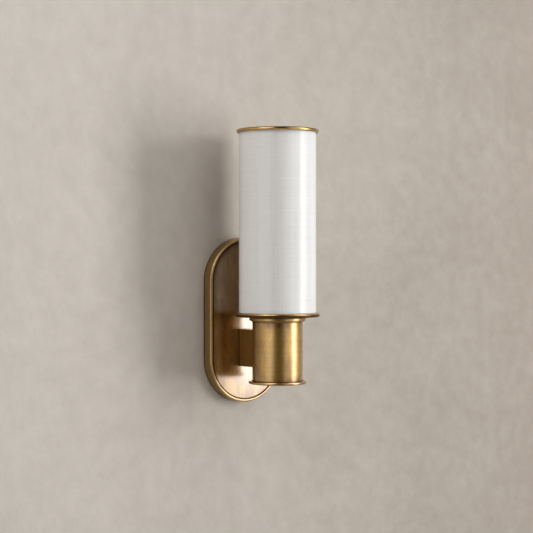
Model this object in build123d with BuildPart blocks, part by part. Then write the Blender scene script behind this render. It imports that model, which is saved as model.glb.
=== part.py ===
from build123d import *
from math import cos, pi, radians, sin, sqrt, tan
import os

os.makedirs("parts", exist_ok=True)

# Wall sconce with a hollow brass back plate, a square-cut arm, a turned lamp cup and a tall drum shade.
# Millimetres, +Z up. The wall is the plane Y = 0, the light stands out from it towards -Y, and the
# origin is the middle of the wall fixing. Everything round stands on one upright axis, the column,
# shade_reach in front of the wall.

# ---------------------------------------------------------------- driving dimensions

# Fits
slip = 0.15               # radial gap of a spigot, sleeve or skin on its mate
thread_gap = 0.1          # radial gap of a thread that is drawn plain
screw_gap = 0.2           # radial gap of a screw in a plain hole
seat_gap = 0.2            # under each part that lifts off its seat

# Back plate: stadium outline, flat band round the rim, groove, sunk panel
plate_width = 125.0
plate_height = 232.0
plate_depth = 17.0
plate_wall = 2.2
plate_edge_round = 1.5
rim_band = 5.2
groove_width = 1.5
groove_depth = 1.0
panel_drop = 0.8
panel_metal = 2.2
band_edge_round = 0.3

# Steel bracket on the junction box, with an ear at each end for the locking screws
bracket_metal = 1.6
bracket_width = 46.0
bracket_body = 136.0
bracket_corner = 6.0
bracket_hole = 15.0
box_screw_spacing = 88.9
box_slot_radius = 2.4
box_slot_length = 24.0
ear_width = 24.0
ear_reach = 13.0
ear_gap = 0.6
earth_screw_side = 16.0

# Screws
small_screw = 1.5         # radius, terminal block's fixings and the mouths of its clamps
main_screw = 2.0          # radius, arm, earth and locking screws
clamp_screw = 0.75        # radius, in the terminal block's sleeves
screw_head = 1.75         # sizes of a slotted head, in radii of its screw
screw_dome = 1.1
screw_head_edge = 0.44
screw_slot = 0.4
screw_slot_depth = 0.55
locking_screw_length = 8.0
locking_screw_sink = 0.5
locking_screw_depth = 9.0
locking_key = 1.15        # corner radius of the hexagon socket
locking_key_depth = 2.3

# Arm
arm_width = 25.3
arm_height = 52.5
arm_wall = 2.0
arm_edge_round = 0.8
arm_drop = 38.65          # arm's middle below the plate's middle
arm_block = 10.0
arm_screw_rise = 17.0     # each arm screw from the arm's middle
arm_screw_grip = 10.0
wire_hole = 6.0

# Lamp cup
shade_reach = 87.6
cup_radius = 34.8
cup_wall = 1.8
cup_web = 2.5
cup_length = 83.0
cup_rise = 1.5            # cup's top above the plate's middle
base_radius = 39.9
base_thickness = 4.0
base_spigot = 8.0
base_spigot_wall = 2.0
collar_radius = 39.0
collar_thickness = 5.0
collar_edge_round = 1.0
cup_bead = 1.5
full_round = 0.48         # share of a flange's thickness that rounds each of its edges

# Gallery that carries the shade
gallery_radius = 58.3
gallery_thickness = 5.8
gallery_floor = 3.0
gallery_rim = 8.6         # flat seat left round the sunk floor

# Threaded tube, nut and washers
tube_radius = 5.0
tube_bore = 3.6
tube_tail = 3.0           # below its nut
tube_chamfer = 0.5
washer_metal = 0.8
washer_radius = 8.5
washer_notches = 12
nut_across = 14.0
nut_height = 4.0

# Lampholder
holder_boss = 6.0
holder_boss_wall = 2.4
holder_cap_height = 24.0
holder_cap_foot = 12.0
holder_cap_floor = 2.5
holder_radius = 20.0
holder_wall = 1.8
holder_skirt_height = 33.0
holder_thread = 19.75
holder_shoulder = 9.0     # shoulder's seat above the skirt's foot
shoulder_radius = 22.5
shoulder_thickness = 2.5
shoulder_slope = 1.25
holder_mouth = 15.0
insert_height = 8.0
insert_step = 6.3         # insert's seat above the skirt's foot
insert_chamfer = 1.0
shell_radius = 13.95
shell_metal = 0.5
shell_height = 24.0
contact_metal = 0.5
contact_width = 6.0
contact_rise = 3.6
contact_tail = 9.5        # its foot's end, knee, crest and tip, from the column
contact_knee = 5.0
contact_crest = 1.5
contact_tip = 3.0
contact_bend = 1.2
post_side = 8.0
post_radius = 3.2
post_height = 6.0
post_end_wall = 1.0
post_screw = 1.1

# Lamp: opal tube lamp on a 26 mm screw cap
lamp_length = 140.0
lamp_radius = 16.0
lamp_glass = 1.0
lamp_cap_radius = 13.15
lamp_cap_height = 20.0
lamp_cap_metal = 0.4
lamp_cap_shoulder = 1.0
lamp_cap_taper = 3.0
lamp_neck_depth = 5.0     # of the glass in the cap
lamp_contact_radius = 4.5
lamp_contact_height = 1.2
lamp_contact_round = 0.8
lamp_contact_margin = 0.5
lamp_insulator_height = 3.6
lamp_insulator_radius = 9.0
lamp_shoulder = 12.0

# Shade
shade_radius = 54.0
shade_height = 250.0
cloth = 0.7
liner_wall = 0.8
top_ring_overhang = 3.4
top_ring_height = 4.8
top_ring_web = 1.6
top_ring_lip = 0.9
top_ring_lip_drop = 7.7
top_ring_edge_round = 0.6
fitter_ring_width = 7.2
fitter_metal = 1.5
fitter_wire = 1.6
fitter_base_rise = 0.5
fitter_spoke = 1.3
fitter_spoke_bend = 7.0
fitter_spokes = 3
grip_ring_height = 7.0
grip_ring_wall = 5.0
grip_ribs = 24
grip_rib_radius = 1.1

# Terminal block on the back of the plate
block_ways = 3
block_pitch = 9.0
block_length = 40.0
block_height = 18.0
block_base = 3.5
block_tower = 10.5
block_tower_width = 7.0
block_low = 12.0          # its lower side above the plate's middle
block_fixing = 17.0
sleeve_radius = 2.4
sleeve_bore = 1.5
sleeve_length = 15.0
clamp_screw_spread = 4.5
block_screw_grip = 5.0

# Wiring
lead_radius = 1.1
lead_lane = 8.0           # leads behind the plate, from the wall
lead_side = 1.3           # live and neutral, each side of the middle
cup_bend = 24.0
plate_bend = 7.0
way_bend = 24.0
holder_bend = 4.0
lead_entry = 3.0
lead_bow = 1.0            # past the post's mouth and the tube's top before it turns
arc_share = 0.45          # of the shorter run, the most that a bend takes
earth_side = 20.0
earth_drop = 30.0
earth_stud_length = 8.0
earth_nut_across = 7.0
earth_nut_height = 3.2
ring_terminal_radius = 4.2
ring_terminal_metal = 0.8
crimp_wall = 0.6
crimp_length = 7.0
crimp_start = 5.0

# ---------------------------------------------------------------- places worked out from them

plate_end = (plate_height - plate_width) / 2       # centres of the plate's round ends
panel_face = plate_depth - panel_drop
panel_back = panel_face - panel_metal
hollow_width = plate_width - 2 * plate_wall
hollow_height = plate_height - 2 * plate_wall
ear_face = plate_end + sqrt((hollow_width / 2) ** 2 - (ear_width / 2) ** 2) - ear_gap

cup_inside = cup_radius - cup_wall
cup_foot = cup_rise - cup_length
web_under = cup_rise - cup_web
gallery_foot = cup_rise + collar_thickness
gallery_top = gallery_foot + gallery_thickness
gallery_floor_top = gallery_foot + gallery_floor

holder_foot = gallery_floor_top + washer_metal
skirt_foot = holder_foot + holder_cap_height
skirt_top = skirt_foot + holder_skirt_height
shoulder_top = skirt_foot + holder_shoulder
insert_top = skirt_foot + insert_step
insert_foot = insert_top - insert_height
insert_radius = holder_radius - holder_wall - 2 * slip
tube_foot = web_under - washer_metal - nut_height - tube_tail
tube_top = holder_foot + holder_boss

lamp_foot = insert_top + contact_rise + seat_gap
lamp_cap_foot = lamp_foot + lamp_contact_height + lamp_insulator_height
lamp_cap_top = lamp_cap_foot + lamp_cap_height
lamp_top = lamp_foot + lamp_length

shade_foot = gallery_top + seat_gap
shade_top = shade_foot + shade_height
cloth_inside = shade_radius - cloth
liner_radius = cloth_inside - slip
liner_inside = liner_radius - liner_wall
fitter_foot = shoulder_top + seat_gap
fitter_hole = holder_thread + 3 * slip
fitter_ring_radius = fitter_hole + fitter_ring_width
fitter_wire_ring = liner_inside - slip - fitter_wire
fitter_wire_height = shade_foot + fitter_base_rise + fitter_wire
grip_ring_foot = fitter_foot + fitter_metal + thread_gap
grip_ring_bore = holder_thread + thread_gap
grip_ring_radius = grip_ring_bore + grip_ring_wall

block_middle = block_low + block_height / 2
block_front = panel_back - block_tower
way_places = [block_pitch * (way - (block_ways - 1) / 2) for way in range(block_ways)]

column_axis = Axis((0, -shade_reach, 0), (0, 0, 1))
column_profile = Plane.XZ.offset(shade_reach)


def wall_plane(distance):
    """Upright plane this far in front of the wall, facing the room."""
    return Plane.XZ.offset(distance)


def level(height):
    """Horizontal plane at this height, centred on the column."""
    return Plane(origin=(0, -shade_reach, height))


def stadium(width, height):
    """Upright outline with straight sides and half-round ends."""
    return SlotOverall(height, width, rotation=90)


def screws(seats, radius, length):
    """Slotted screws with low domed heads, one on each seat, a plane that faces out of the head."""
    head = screw_head * radius
    head_edge = screw_head_edge * radius
    head_top = screw_dome * radius
    with BuildPart() as made:
        for seat in seats:
            with BuildSketch(Plane(seat.origin, seat.x_dir, -seat.y_dir)):
                with BuildLine():
                    TangentArc((0, head_top), (head, head_edge), tangent=(1, 0))
                    Polyline((head, head_edge), (head, 0), (radius, 0))
                    Polyline((radius, 0), (radius, -length), (0, -length), (0, head_top))
                make_face()
            revolve(axis=Axis(seat.origin, seat.z_dir))
            with BuildSketch(seat.offset(head_top)):
                Rectangle(3 * head, screw_slot * radius)
            extrude(amount=-screw_slot_depth * radius, mode=Mode.SUBTRACT)
    return made


def lead(*stations):
    """Insulated wire along straight runs with an arc at each inner station, given as a point and a bend.

    An arc takes at most arc_share of the shorter of its two runs.
    """
    corners = [Vector(*point) for point, bend in stations]
    runs = [after - before for before, after in zip(corners, corners[1:])]
    radii = []
    for (point, bend), before, after in zip(stations[1:], runs, runs[1:]):
        room = arc_share * min(before.length, after.length) / tan(radians(before.get_angle(after)) / 2)
        radii.append(min(bend, room))
    with BuildPart() as wire:
        with BuildLine() as route:
            FilletPolyline(*corners, radius=radii)
        with BuildSketch(Plane(origin=route.line @ 0, z_dir=route.line % 0)):
            Circle(lead_radius)
        sweep()
    length = sum(edge.length for edge in route.edges())
    share = wire.part.volume / (pi * lead_radius**2 * length)
    bends = [round(radius, 1) for radius in radii]
    print("lead", round(length, 1), "mm, bends", bends, "volume share", round(share, 4))
    return wire


# ---------------------------------------------------------------- on the wall

# Steel bracket: a flat strap with a wire hole, two long slots for the junction box screws and
# two ears bent forward that the locking screws pass through
with BuildPart() as mounting_bracket:
    with BuildSketch(wall_plane(0)) as strap:
        Rectangle(bracket_width, bracket_body)
        Rectangle(ear_width, 2 * ear_face)
        fillet(strap.vertices().filter_by(lambda v: abs(abs(v.Z) - bracket_body / 2) < 0.1), bracket_corner)
        Circle(bracket_hole, mode=Mode.SUBTRACT)
        with GridLocations(0, box_screw_spacing, 1, 2):
            SlotOverall(box_slot_length, 2 * box_slot_radius, rotation=90, mode=Mode.SUBTRACT)
        with Locations((earth_screw_side, -earth_screw_side)):
            Circle(main_screw + screw_gap, mode=Mode.SUBTRACT)
    extrude(amount=bracket_metal)
    with BuildSketch(wall_plane(0)):
        with GridLocations(0, 2 * ear_face - bracket_metal, 1, 2):
            Rectangle(ear_width, bracket_metal)
    extrude(amount=ear_reach)
    ear_tops = mounting_bracket.faces().filter_by(Axis.Y).sort_by(Axis.Y)[:2]
    fillet(ear_tops.edges().filter_by(Axis.Z), bracket_metal / 4)
    with BuildSketch(Plane.XY):
        with Locations((0, -locking_screw_depth)):
            Circle(main_screw + screw_gap)
    extrude(amount=ear_face, both=True, mode=Mode.SUBTRACT)
mounting_bracket.part.label = "mounting_bracket"
export_step(mounting_bracket.part, "parts/mounting_bracket.step")

# Earth screw of the bracket
bracket_earth_screw = screws(
    [Plane((earth_screw_side, -bracket_metal, -earth_screw_side), (1, 0, 0), (0, -1, 0))],
    main_screw,
    bracket_metal,
)
bracket_earth_screw.part.label = "bracket_earth_screw"
export_step(bracket_earth_screw.part, "parts/bracket_earth_screw.step")

# Back plate: hollow from behind, rim band, groove and sunk panel in front
with BuildPart() as backplate:
    with BuildSketch(wall_plane(0)):
        stadium(plate_width, plate_height)
    extrude(amount=plate_depth)
    fillet(backplate.faces().sort_by(Axis.Y)[0].edges(), plate_edge_round)
    with BuildSketch(wall_plane(0)):
        stadium(hollow_width, hollow_height)
    extrude(amount=panel_back, mode=Mode.SUBTRACT)
    with BuildSketch(wall_plane(plate_depth)):
        stadium(plate_width - 2 * rim_band, plate_height - 2 * rim_band)
    extrude(amount=-panel_drop, mode=Mode.SUBTRACT)
    fillet(backplate.faces().sort_by(Axis.Y)[0].inner_wires().edges(), band_edge_round)
    with BuildSketch(wall_plane(panel_face)):
        stadium(plate_width - 2 * rim_band, plate_height - 2 * rim_band)
        offset(amount=-groove_width, mode=Mode.SUBTRACT)
    extrude(amount=-groove_depth, mode=Mode.SUBTRACT)
    with BuildSketch(wall_plane(panel_face)):
        with Locations((0, -arm_drop)):
            Circle(wire_hole)
            with GridLocations(0, 2 * arm_screw_rise, 1, 2):
                Circle(main_screw + screw_gap)
    extrude(amount=-panel_face, mode=Mode.SUBTRACT)
    with BuildSketch(wall_plane(panel_back)):
        with Locations((0, block_middle)):
            with GridLocations(2 * block_fixing, 0, 2, 1):
                Circle(small_screw + screw_gap)
    extrude(amount=block_screw_grip - block_base + screw_gap, mode=Mode.SUBTRACT)
    with BuildSketch(Plane.XY):
        with Locations((0, -locking_screw_depth)):
            Circle(main_screw + thread_gap)
    extrude(amount=plate_height, both=True, mode=Mode.SUBTRACT)
backplate.part.label = "backplate"
export_step(backplate.part, "parts/backplate.step")

# Two headless screws through the rim, at the top and the bottom, lock the plate to the bracket's ears
with BuildPart() as locking_screws:
    for side in (1, -1):
        outer_end = side * (plate_height / 2 - locking_screw_sink)
        with BuildSketch(Plane((0, -locking_screw_depth, outer_end), (1, 0, 0), (0, 0, -side))):
            Circle(main_screw)
        extrude(amount=locking_screw_length)
        with BuildSketch(Plane((0, -locking_screw_depth, outer_end), (1, 0, 0), (0, 0, -side))):
            RegularPolygon(locking_key, 6)
        extrude(amount=locking_key_depth, mode=Mode.SUBTRACT)
    chamfer(
        locking_screws.edges().filter_by(GeomType.CIRCLE).sort_by(lambda edge: abs(edge.center().Z))[:2],
        main_screw / 3,
    )
locking_screws.part.label = "locking_screws"
export_step(locking_screws.part, "parts/locking_screws.step")

# ---------------------------------------------------------------- arm

# Where the arm meets the cup its end is hollowed to the cup's curve
cup_saddle = cup_radius + thread_gap
arm_end = shade_reach - sqrt(cup_saddle**2 - (arm_width / 2) ** 2)

with BuildPart() as arm:
    with BuildSketch(wall_plane(panel_face)):
        with Locations((0, -arm_drop)):
            RectangleRounded(arm_width, arm_height, arm_edge_round)
            Rectangle(arm_width - 2 * arm_wall, arm_height - 2 * arm_wall, mode=Mode.SUBTRACT)
    extrude(amount=arm_end - panel_face)
    with BuildSketch(level(-arm_drop)):
        Circle(cup_saddle)
    extrude(amount=arm_height, both=True, mode=Mode.SUBTRACT)
arm.part.label = "arm"
export_step(arm.part, "parts/arm.step")

# Tapped blocks brazed into the arm's two ends
block_width = arm_width - 2 * arm_wall - 2 * thread_gap
block_rise = arm_height - 2 * arm_wall - 2 * thread_gap

with BuildPart() as arm_rear_block:
    with BuildSketch(wall_plane(panel_face)):
        with Locations((0, -arm_drop)):
            Rectangle(block_width, block_rise)
            Circle(wire_hole, mode=Mode.SUBTRACT)
            with GridLocations(0, 2 * arm_screw_rise, 1, 2):
                Circle(main_screw + thread_gap, mode=Mode.SUBTRACT)
    extrude(amount=arm_block)
arm_rear_block.part.label = "arm_rear_block"
export_step(arm_rear_block.part, "parts/arm_rear_block.step")

with BuildPart() as arm_front_block:
    with BuildSketch(wall_plane(shade_reach - cup_saddle - arm_block)):
        with Locations((0, -arm_drop)):
            Rectangle(block_width, block_rise)
            Circle(wire_hole, mode=Mode.SUBTRACT)
            with GridLocations(0, 2 * arm_screw_rise, 1, 2):
                Circle(main_screw + thread_gap, mode=Mode.SUBTRACT)
    extrude(amount=arm_end - (shade_reach - cup_saddle - arm_block))
    with BuildSketch(level(-arm_drop)):
        Circle(cup_saddle)
    extrude(amount=arm_height, both=True, mode=Mode.SUBTRACT)
arm_front_block.part.label = "arm_front_block"
export_step(arm_front_block.part, "parts/arm_front_block.step")

# Screws from inside the plate into the rear block, and from inside the cup into the front block
arm_screw_heights = [-arm_drop + arm_screw_rise, -arm_drop - arm_screw_rise]
arm_rear_screws = screws(
    [Plane((0, -panel_back, height), (1, 0, 0), (0, 1, 0)) for height in arm_screw_heights],
    main_screw,
    arm_screw_grip,
)
arm_rear_screws.part.label = "arm_rear_screws"
export_step(arm_rear_screws.part, "parts/arm_rear_screws.step")

head_seat = sqrt(cup_inside**2 - (screw_head * main_screw) ** 2) - thread_gap / 2
arm_front_screws = screws(
    [Plane((0, head_seat - shade_reach, height), (1, 0, 0), (0, -1, 0)) for height in arm_screw_heights],
    main_screw,
    arm_screw_grip,
)
arm_front_screws.part.label = "arm_front_screws"
export_step(arm_front_screws.part, "parts/arm_front_screws.step")

# ---------------------------------------------------------------- lamp cup and gallery

# Cup: a tube closed on top by a web, with holes in its back for the wires and the arm's screws
with BuildPart() as lamp_cup:
    with BuildSketch(level(cup_foot)):
        Circle(cup_radius)
    extrude(amount=cup_length)
    with BuildSketch(level(cup_foot)):
        Circle(cup_inside)
    extrude(amount=cup_length - cup_web, mode=Mode.SUBTRACT)
    with BuildSketch(level(cup_rise)):
        Circle(tube_radius + thread_gap)
    extrude(amount=-cup_web, mode=Mode.SUBTRACT)
    with BuildSketch(wall_plane(shade_reach)):
        with Locations((0, -arm_drop)):
            Circle(wire_hole)
            with GridLocations(0, 2 * arm_screw_rise, 1, 2):
                Circle(main_screw + screw_gap)
    extrude(amount=-shade_reach, mode=Mode.SUBTRACT)
lamp_cup.part.label = "lamp_cup"
export_step(lamp_cup.part, "parts/lamp_cup.step")

# Base: closes the cup from below, with a half-round flange and a spigot that screws into the cup
with BuildPart() as cup_base:
    with BuildSketch(level(cup_foot)):
        Circle(base_radius)
    extrude(amount=-base_thickness)
    fillet(cup_base.edges().filter_by(GeomType.CIRCLE), full_round * base_thickness)
    with BuildSketch(level(cup_foot)):
        Circle(cup_inside - slip)
        Circle(cup_inside - slip - base_spigot_wall, mode=Mode.SUBTRACT)
    extrude(amount=base_spigot)
cup_base.part.label = "cup_base"
export_step(cup_base.part, "parts/cup_base.step")

# Collar: a turned ring on the cup's top, with a small bead that reaches down round the cup
with BuildPart() as cup_collar:
    with BuildSketch(level(cup_rise)):
        Circle(collar_radius)
    extrude(amount=collar_thickness)
    fillet(cup_collar.edges().filter_by(GeomType.CIRCLE), collar_edge_round)
    with BuildSketch(level(cup_rise + collar_thickness)):
        Circle(tube_radius + thread_gap)
    extrude(amount=-collar_thickness, mode=Mode.SUBTRACT)
    with BuildSketch(column_profile):
        with BuildLine():
            Polyline(
                (cup_radius + slip, cup_rise + collar_edge_round),
                (cup_radius + slip, cup_rise - cup_bead),
                (cup_radius + slip + cup_bead / 3, cup_rise - cup_bead),
            )
            Line(
                (cup_radius + slip, cup_rise + collar_edge_round),
                (cup_radius + slip + cup_bead, cup_rise + collar_edge_round),
            )
            Line(
                (cup_radius + slip + cup_bead, cup_rise + collar_edge_round),
                (cup_radius + slip + cup_bead, cup_rise - cup_bead / 2),
            )
            TangentArc(
                (cup_radius + slip + cup_bead, cup_rise - cup_bead / 2),
                (cup_radius + slip + cup_bead / 3, cup_rise - cup_bead),
                tangent=(0, -1),
            )
        make_face()
    revolve(axis=column_axis)
cup_collar.part.label = "cup_collar"
export_step(cup_collar.part, "parts/cup_collar.step")

# Gallery: a disc with a full-round edge and a sunk floor inside the shade's seat
with BuildPart() as gallery_disc:
    with BuildSketch(level(gallery_foot)):
        Circle(gallery_radius)
    extrude(amount=gallery_thickness)
    fillet(gallery_disc.edges().filter_by(GeomType.CIRCLE), full_round * gallery_thickness)
    with BuildSketch(level(gallery_top)):
        Circle(gallery_radius - gallery_rim)
    extrude(amount=-(gallery_thickness - gallery_floor), mode=Mode.SUBTRACT)
    with BuildSketch(level(gallery_floor_top)):
        Circle(tube_radius + thread_gap)
    extrude(amount=-gallery_floor, mode=Mode.SUBTRACT)
gallery_disc.part.label = "gallery_disc"
export_step(gallery_disc.part, "parts/gallery_disc.step")

# Threaded tube through the cup's web, the collar and the gallery, up into the lampholder
with BuildPart() as threaded_tube:
    with BuildSketch(level(tube_foot)):
        Circle(tube_radius)
        Circle(tube_bore, mode=Mode.SUBTRACT)
    extrude(amount=tube_top - tube_foot)
    round_edges = threaded_tube.edges().filter_by(GeomType.CIRCLE)
    chamfer(round_edges.group_by(SortBy.RADIUS)[-1], tube_chamfer)
threaded_tube.part.label = "threaded_tube"
export_step(threaded_tube.part, "parts/threaded_tube.step")

# Lock washers: one under the cup's web, one under the lampholder, each notched round its rim
with BuildPart() as lock_washers:
    for foot in (web_under - washer_metal, gallery_floor_top):
        with BuildSketch(level(foot)):
            Circle(washer_radius)
            Circle(tube_radius + thread_gap, mode=Mode.SUBTRACT)
            with PolarLocations(washer_radius, washer_notches):
                Circle(washer_metal, mode=Mode.SUBTRACT)
        extrude(amount=washer_metal)
lock_washers.part.label = "lock_washers"
export_step(lock_washers.part, "parts/lock_washers.step")

# Nut inside the cup
with BuildPart() as tube_nut:
    with BuildSketch(level(web_under - washer_metal)):
        RegularPolygon(nut_across / 2, 6, major_radius=False)
        Circle(tube_radius + thread_gap, mode=Mode.SUBTRACT)
    extrude(amount=-nut_height)
tube_nut.part.label = "tube_nut"
export_step(tube_nut.part, "parts/tube_nut.step")

# ---------------------------------------------------------------- lampholder

# Cap: a moulded dome with a tapped boss for the threaded tube
with BuildPart() as lampholder_cap:
    cap_inside = holder_radius - holder_wall
    cap_floor = holder_foot + holder_cap_floor
    cap_turn = holder_radius - holder_cap_foot
    with BuildSketch(column_profile):
        with BuildLine():
            Polyline(
                (tube_radius + thread_gap, tube_top),
                (tube_radius + thread_gap, holder_foot),
                (holder_cap_foot, holder_foot),
            )
            TangentArc(
                (holder_cap_foot, holder_foot), (holder_radius, holder_foot + cap_turn), tangent=(1, 0)
            )
            Polyline(
                (holder_radius, holder_foot + cap_turn),
                (holder_radius, skirt_foot),
                (cap_inside, skirt_foot),
                (cap_inside, cap_floor + cap_turn),
            )
            TangentArc(
                (cap_inside, cap_floor + cap_turn), (cap_inside - cap_turn, cap_floor), tangent=(0, -1)
            )
            Polyline(
                (cap_inside - cap_turn, cap_floor),
                (tube_radius + thread_gap + holder_boss_wall, cap_floor),
                (tube_radius + thread_gap + holder_boss_wall, tube_top),
                (tube_radius + thread_gap, tube_top),
            )
        make_face()
    revolve(axis=column_axis)
lampholder_cap.part.label = "lampholder_cap"
export_step(lampholder_cap.part, "parts/lampholder_cap.step")

# Skirt: the outer body, with the shoulder that carries the shade's fitter and a thread for its ring
with BuildPart() as lampholder_skirt:
    with BuildSketch(column_profile):
        with BuildLine():
            Polyline(
                (holder_radius, skirt_foot),
                (holder_radius, shoulder_top - shoulder_thickness - shoulder_slope),
                (shoulder_radius, shoulder_top - shoulder_thickness),
                (shoulder_radius, shoulder_top),
                (holder_thread, shoulder_top),
                (holder_thread, skirt_top - holder_wall / 2),
                (holder_thread - holder_wall / 2, skirt_top),
                (holder_mouth + holder_wall / 2, skirt_top),
                (holder_mouth, skirt_top - holder_wall / 2),
                (holder_mouth, insert_top),
                (insert_radius + slip, insert_top),
                (insert_radius + slip, skirt_foot),
                close=True,
            )
        make_face()
    revolve(axis=column_axis)
lampholder_skirt.part.label = "lampholder_skirt"
export_step(lampholder_skirt.part, "parts/lampholder_skirt.step")

# Insert: the ceramic disc that carries the contacts
with BuildPart() as lampholder_insert:
    with BuildSketch(level(insert_foot)):
        Circle(insert_radius)
    extrude(amount=insert_height)
    chamfer(lampholder_insert.edges().filter_by(GeomType.CIRCLE).sort_by(Axis.Z)[:1], insert_chamfer)
lampholder_insert.part.label = "lampholder_insert"
export_step(lampholder_insert.part, "parts/lampholder_insert.step")

# Screw shell: the brass sleeve that takes the lamp's cap
with BuildPart() as lampholder_shell:
    with BuildSketch(level(insert_top)):
        Circle(shell_radius)
        Circle(shell_radius - shell_metal, mode=Mode.SUBTRACT)
    extrude(amount=shell_height)
lampholder_shell.part.label = "lampholder_shell"
export_step(lampholder_shell.part, "parts/lampholder_shell.step")

# Centre contact: a bent bronze tongue under the lamp
with BuildPart() as centre_contact:
    with BuildSketch(column_profile):
        with BuildLine():
            FilletPolyline(
                (-contact_tail, insert_top + contact_metal / 2),
                (-contact_knee, insert_top + contact_metal / 2),
                (-contact_crest, insert_top + contact_rise - contact_metal / 2),
                (contact_tip, insert_top + contact_rise - contact_metal / 2),
                radius=contact_bend,
            )
        trace(line_width=contact_metal)
    extrude(amount=contact_width / 2, both=True)
centre_contact.part.label = "centre_contact"
export_step(centre_contact.part, "parts/centre_contact.step")

# Terminal posts under the insert, one each side, and their clamping screws
with BuildPart() as holder_terminals:
    with BuildSketch(level(insert_foot)):
        with GridLocations(2 * post_side, 0, 2, 1):
            Circle(post_radius)
    extrude(amount=-post_height)
    with BuildSketch(level(insert_foot - post_height)):
        with GridLocations(2 * post_side, 0, 2, 1):
            Circle(lead_radius + screw_gap)
    extrude(amount=post_height - post_end_wall, mode=Mode.SUBTRACT)
    with BuildSketch(Plane.YZ):
        with Locations((-shade_reach, insert_foot - post_height / 2)):
            Circle(post_screw + thread_gap)
    extrude(amount=post_side + post_radius, both=True, mode=Mode.SUBTRACT)
holder_terminals.part.label = "holder_terminals"
export_step(holder_terminals.part, "parts/holder_terminals.step")

post_screw_height = insert_foot - post_height / 2
holder_terminal_screws = screws(
    [
        Plane((side * (post_side + post_radius), -shade_reach, post_screw_height), (0, 0, 1), (side, 0, 0))
        for side in (1, -1)
    ],
    post_screw,
    post_radius - lead_radius - screw_gap,
)
holder_terminal_screws.part.label = "holder_terminal_screws"
export_step(holder_terminal_screws.part, "parts/holder_terminal_screws.step")

# ---------------------------------------------------------------- lamp

# Opal glass tube with a domed end and a short neck that stands in the cap
neck = lamp_cap_radius - lamp_cap_metal - slip
with BuildPart() as lamp_glass_tube:
    neck_foot = lamp_cap_top - lamp_neck_depth
    body_foot = lamp_cap_top + lamp_shoulder
    dome_foot = lamp_top - lamp_radius
    inside = lamp_radius - lamp_glass
    with BuildSketch(column_profile):
        with BuildLine():
            Line((neck - lamp_glass, neck_foot), (neck, neck_foot))
            Line((neck, neck_foot), (neck, lamp_cap_top))
            Spline(
                (neck, lamp_cap_top), (lamp_radius, body_foot), tangents=[(0, 1), (0, 1)]
            )
            Line((lamp_radius, body_foot), (lamp_radius, dome_foot))
            TangentArc((lamp_radius, dome_foot), (0, lamp_top), tangent=(0, 1))
            Line((0, lamp_top), (0, lamp_top - lamp_glass))
            TangentArc((0, lamp_top - lamp_glass), (inside, dome_foot), tangent=(1, 0))
            Line((inside, dome_foot), (inside, body_foot))
            Spline(
                (inside, body_foot), (neck - lamp_glass, lamp_cap_top), tangents=[(0, -1), (0, -1)]
            )
            Line((neck - lamp_glass, lamp_cap_top), (neck - lamp_glass, neck_foot))
        make_face()
    revolve(axis=column_axis)
lamp_glass_tube.part.label = "lamp_glass_tube"
export_step(lamp_glass_tube.part, "parts/lamp_glass_tube.step")

# Screw cap of the lamp, its black insulator and its centre contact
with BuildPart() as lamp_cap:
    cap_lining = lamp_cap_radius - lamp_cap_metal
    shoulder_lining = lamp_cap_foot + lamp_cap_shoulder + lamp_cap_metal
    with BuildSketch(column_profile):
        with BuildLine():
            Polyline(
                (lamp_insulator_radius, lamp_cap_foot),
                (lamp_cap_radius - lamp_cap_shoulder, lamp_cap_foot + lamp_cap_shoulder),
                (lamp_cap_radius, lamp_cap_foot + lamp_cap_taper),
                (lamp_cap_radius, lamp_cap_top),
                (cap_lining, lamp_cap_top),
                (cap_lining, lamp_cap_foot + lamp_cap_taper + lamp_cap_metal / 2),
                (cap_lining + lamp_cap_metal / 2 - lamp_cap_shoulder, shoulder_lining),
                (lamp_insulator_radius, lamp_cap_foot + lamp_cap_metal),
                close=True,
            )
        make_face()
    revolve(axis=column_axis)
lamp_cap.part.label = "lamp_cap"
export_step(lamp_cap.part, "parts/lamp_cap.step")

with BuildPart() as lamp_insulator:
    with BuildSketch(column_profile):
        Polygon(
            (0, lamp_foot + lamp_contact_height),
            (lamp_contact_radius + lamp_contact_margin, lamp_foot + lamp_contact_height),
            (lamp_insulator_radius, lamp_cap_foot),
            (lamp_insulator_radius, lamp_cap_foot + lamp_cap_metal),
            (0, lamp_cap_foot + lamp_cap_metal),
            align=None,
        )
    revolve(axis=column_axis)
lamp_insulator.part.label = "lamp_insulator"
export_step(lamp_insulator.part, "parts/lamp_insulator.step")

with BuildPart() as lamp_contact:
    with BuildSketch(level(lamp_foot)):
        Circle(lamp_contact_radius)
    extrude(amount=lamp_contact_height)
    fillet(lamp_contact.edges().filter_by(GeomType.CIRCLE).sort_by(Axis.Z)[0], lamp_contact_round)
lamp_contact.part.label = "lamp_contact"
export_step(lamp_contact.part, "parts/lamp_contact.step")

# ---------------------------------------------------------------- shade

# Linen cloth bonded round a translucent liner
with BuildPart() as shade_cloth:
    with BuildSketch(level(shade_foot)):
        Circle(shade_radius)
        Circle(cloth_inside, mode=Mode.SUBTRACT)
    extrude(amount=shade_height)
shade_cloth.part.label = "shade_cloth"
export_step(shade_cloth.part, "parts/shade_cloth.step")

with BuildPart() as shade_liner:
    with BuildSketch(level(shade_foot)):
        Circle(liner_radius)
        Circle(liner_inside, mode=Mode.SUBTRACT)
    extrude(amount=shade_height)
shade_liner.part.label = "shade_liner"
export_step(shade_liner.part, "parts/shade_liner.step")

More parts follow.
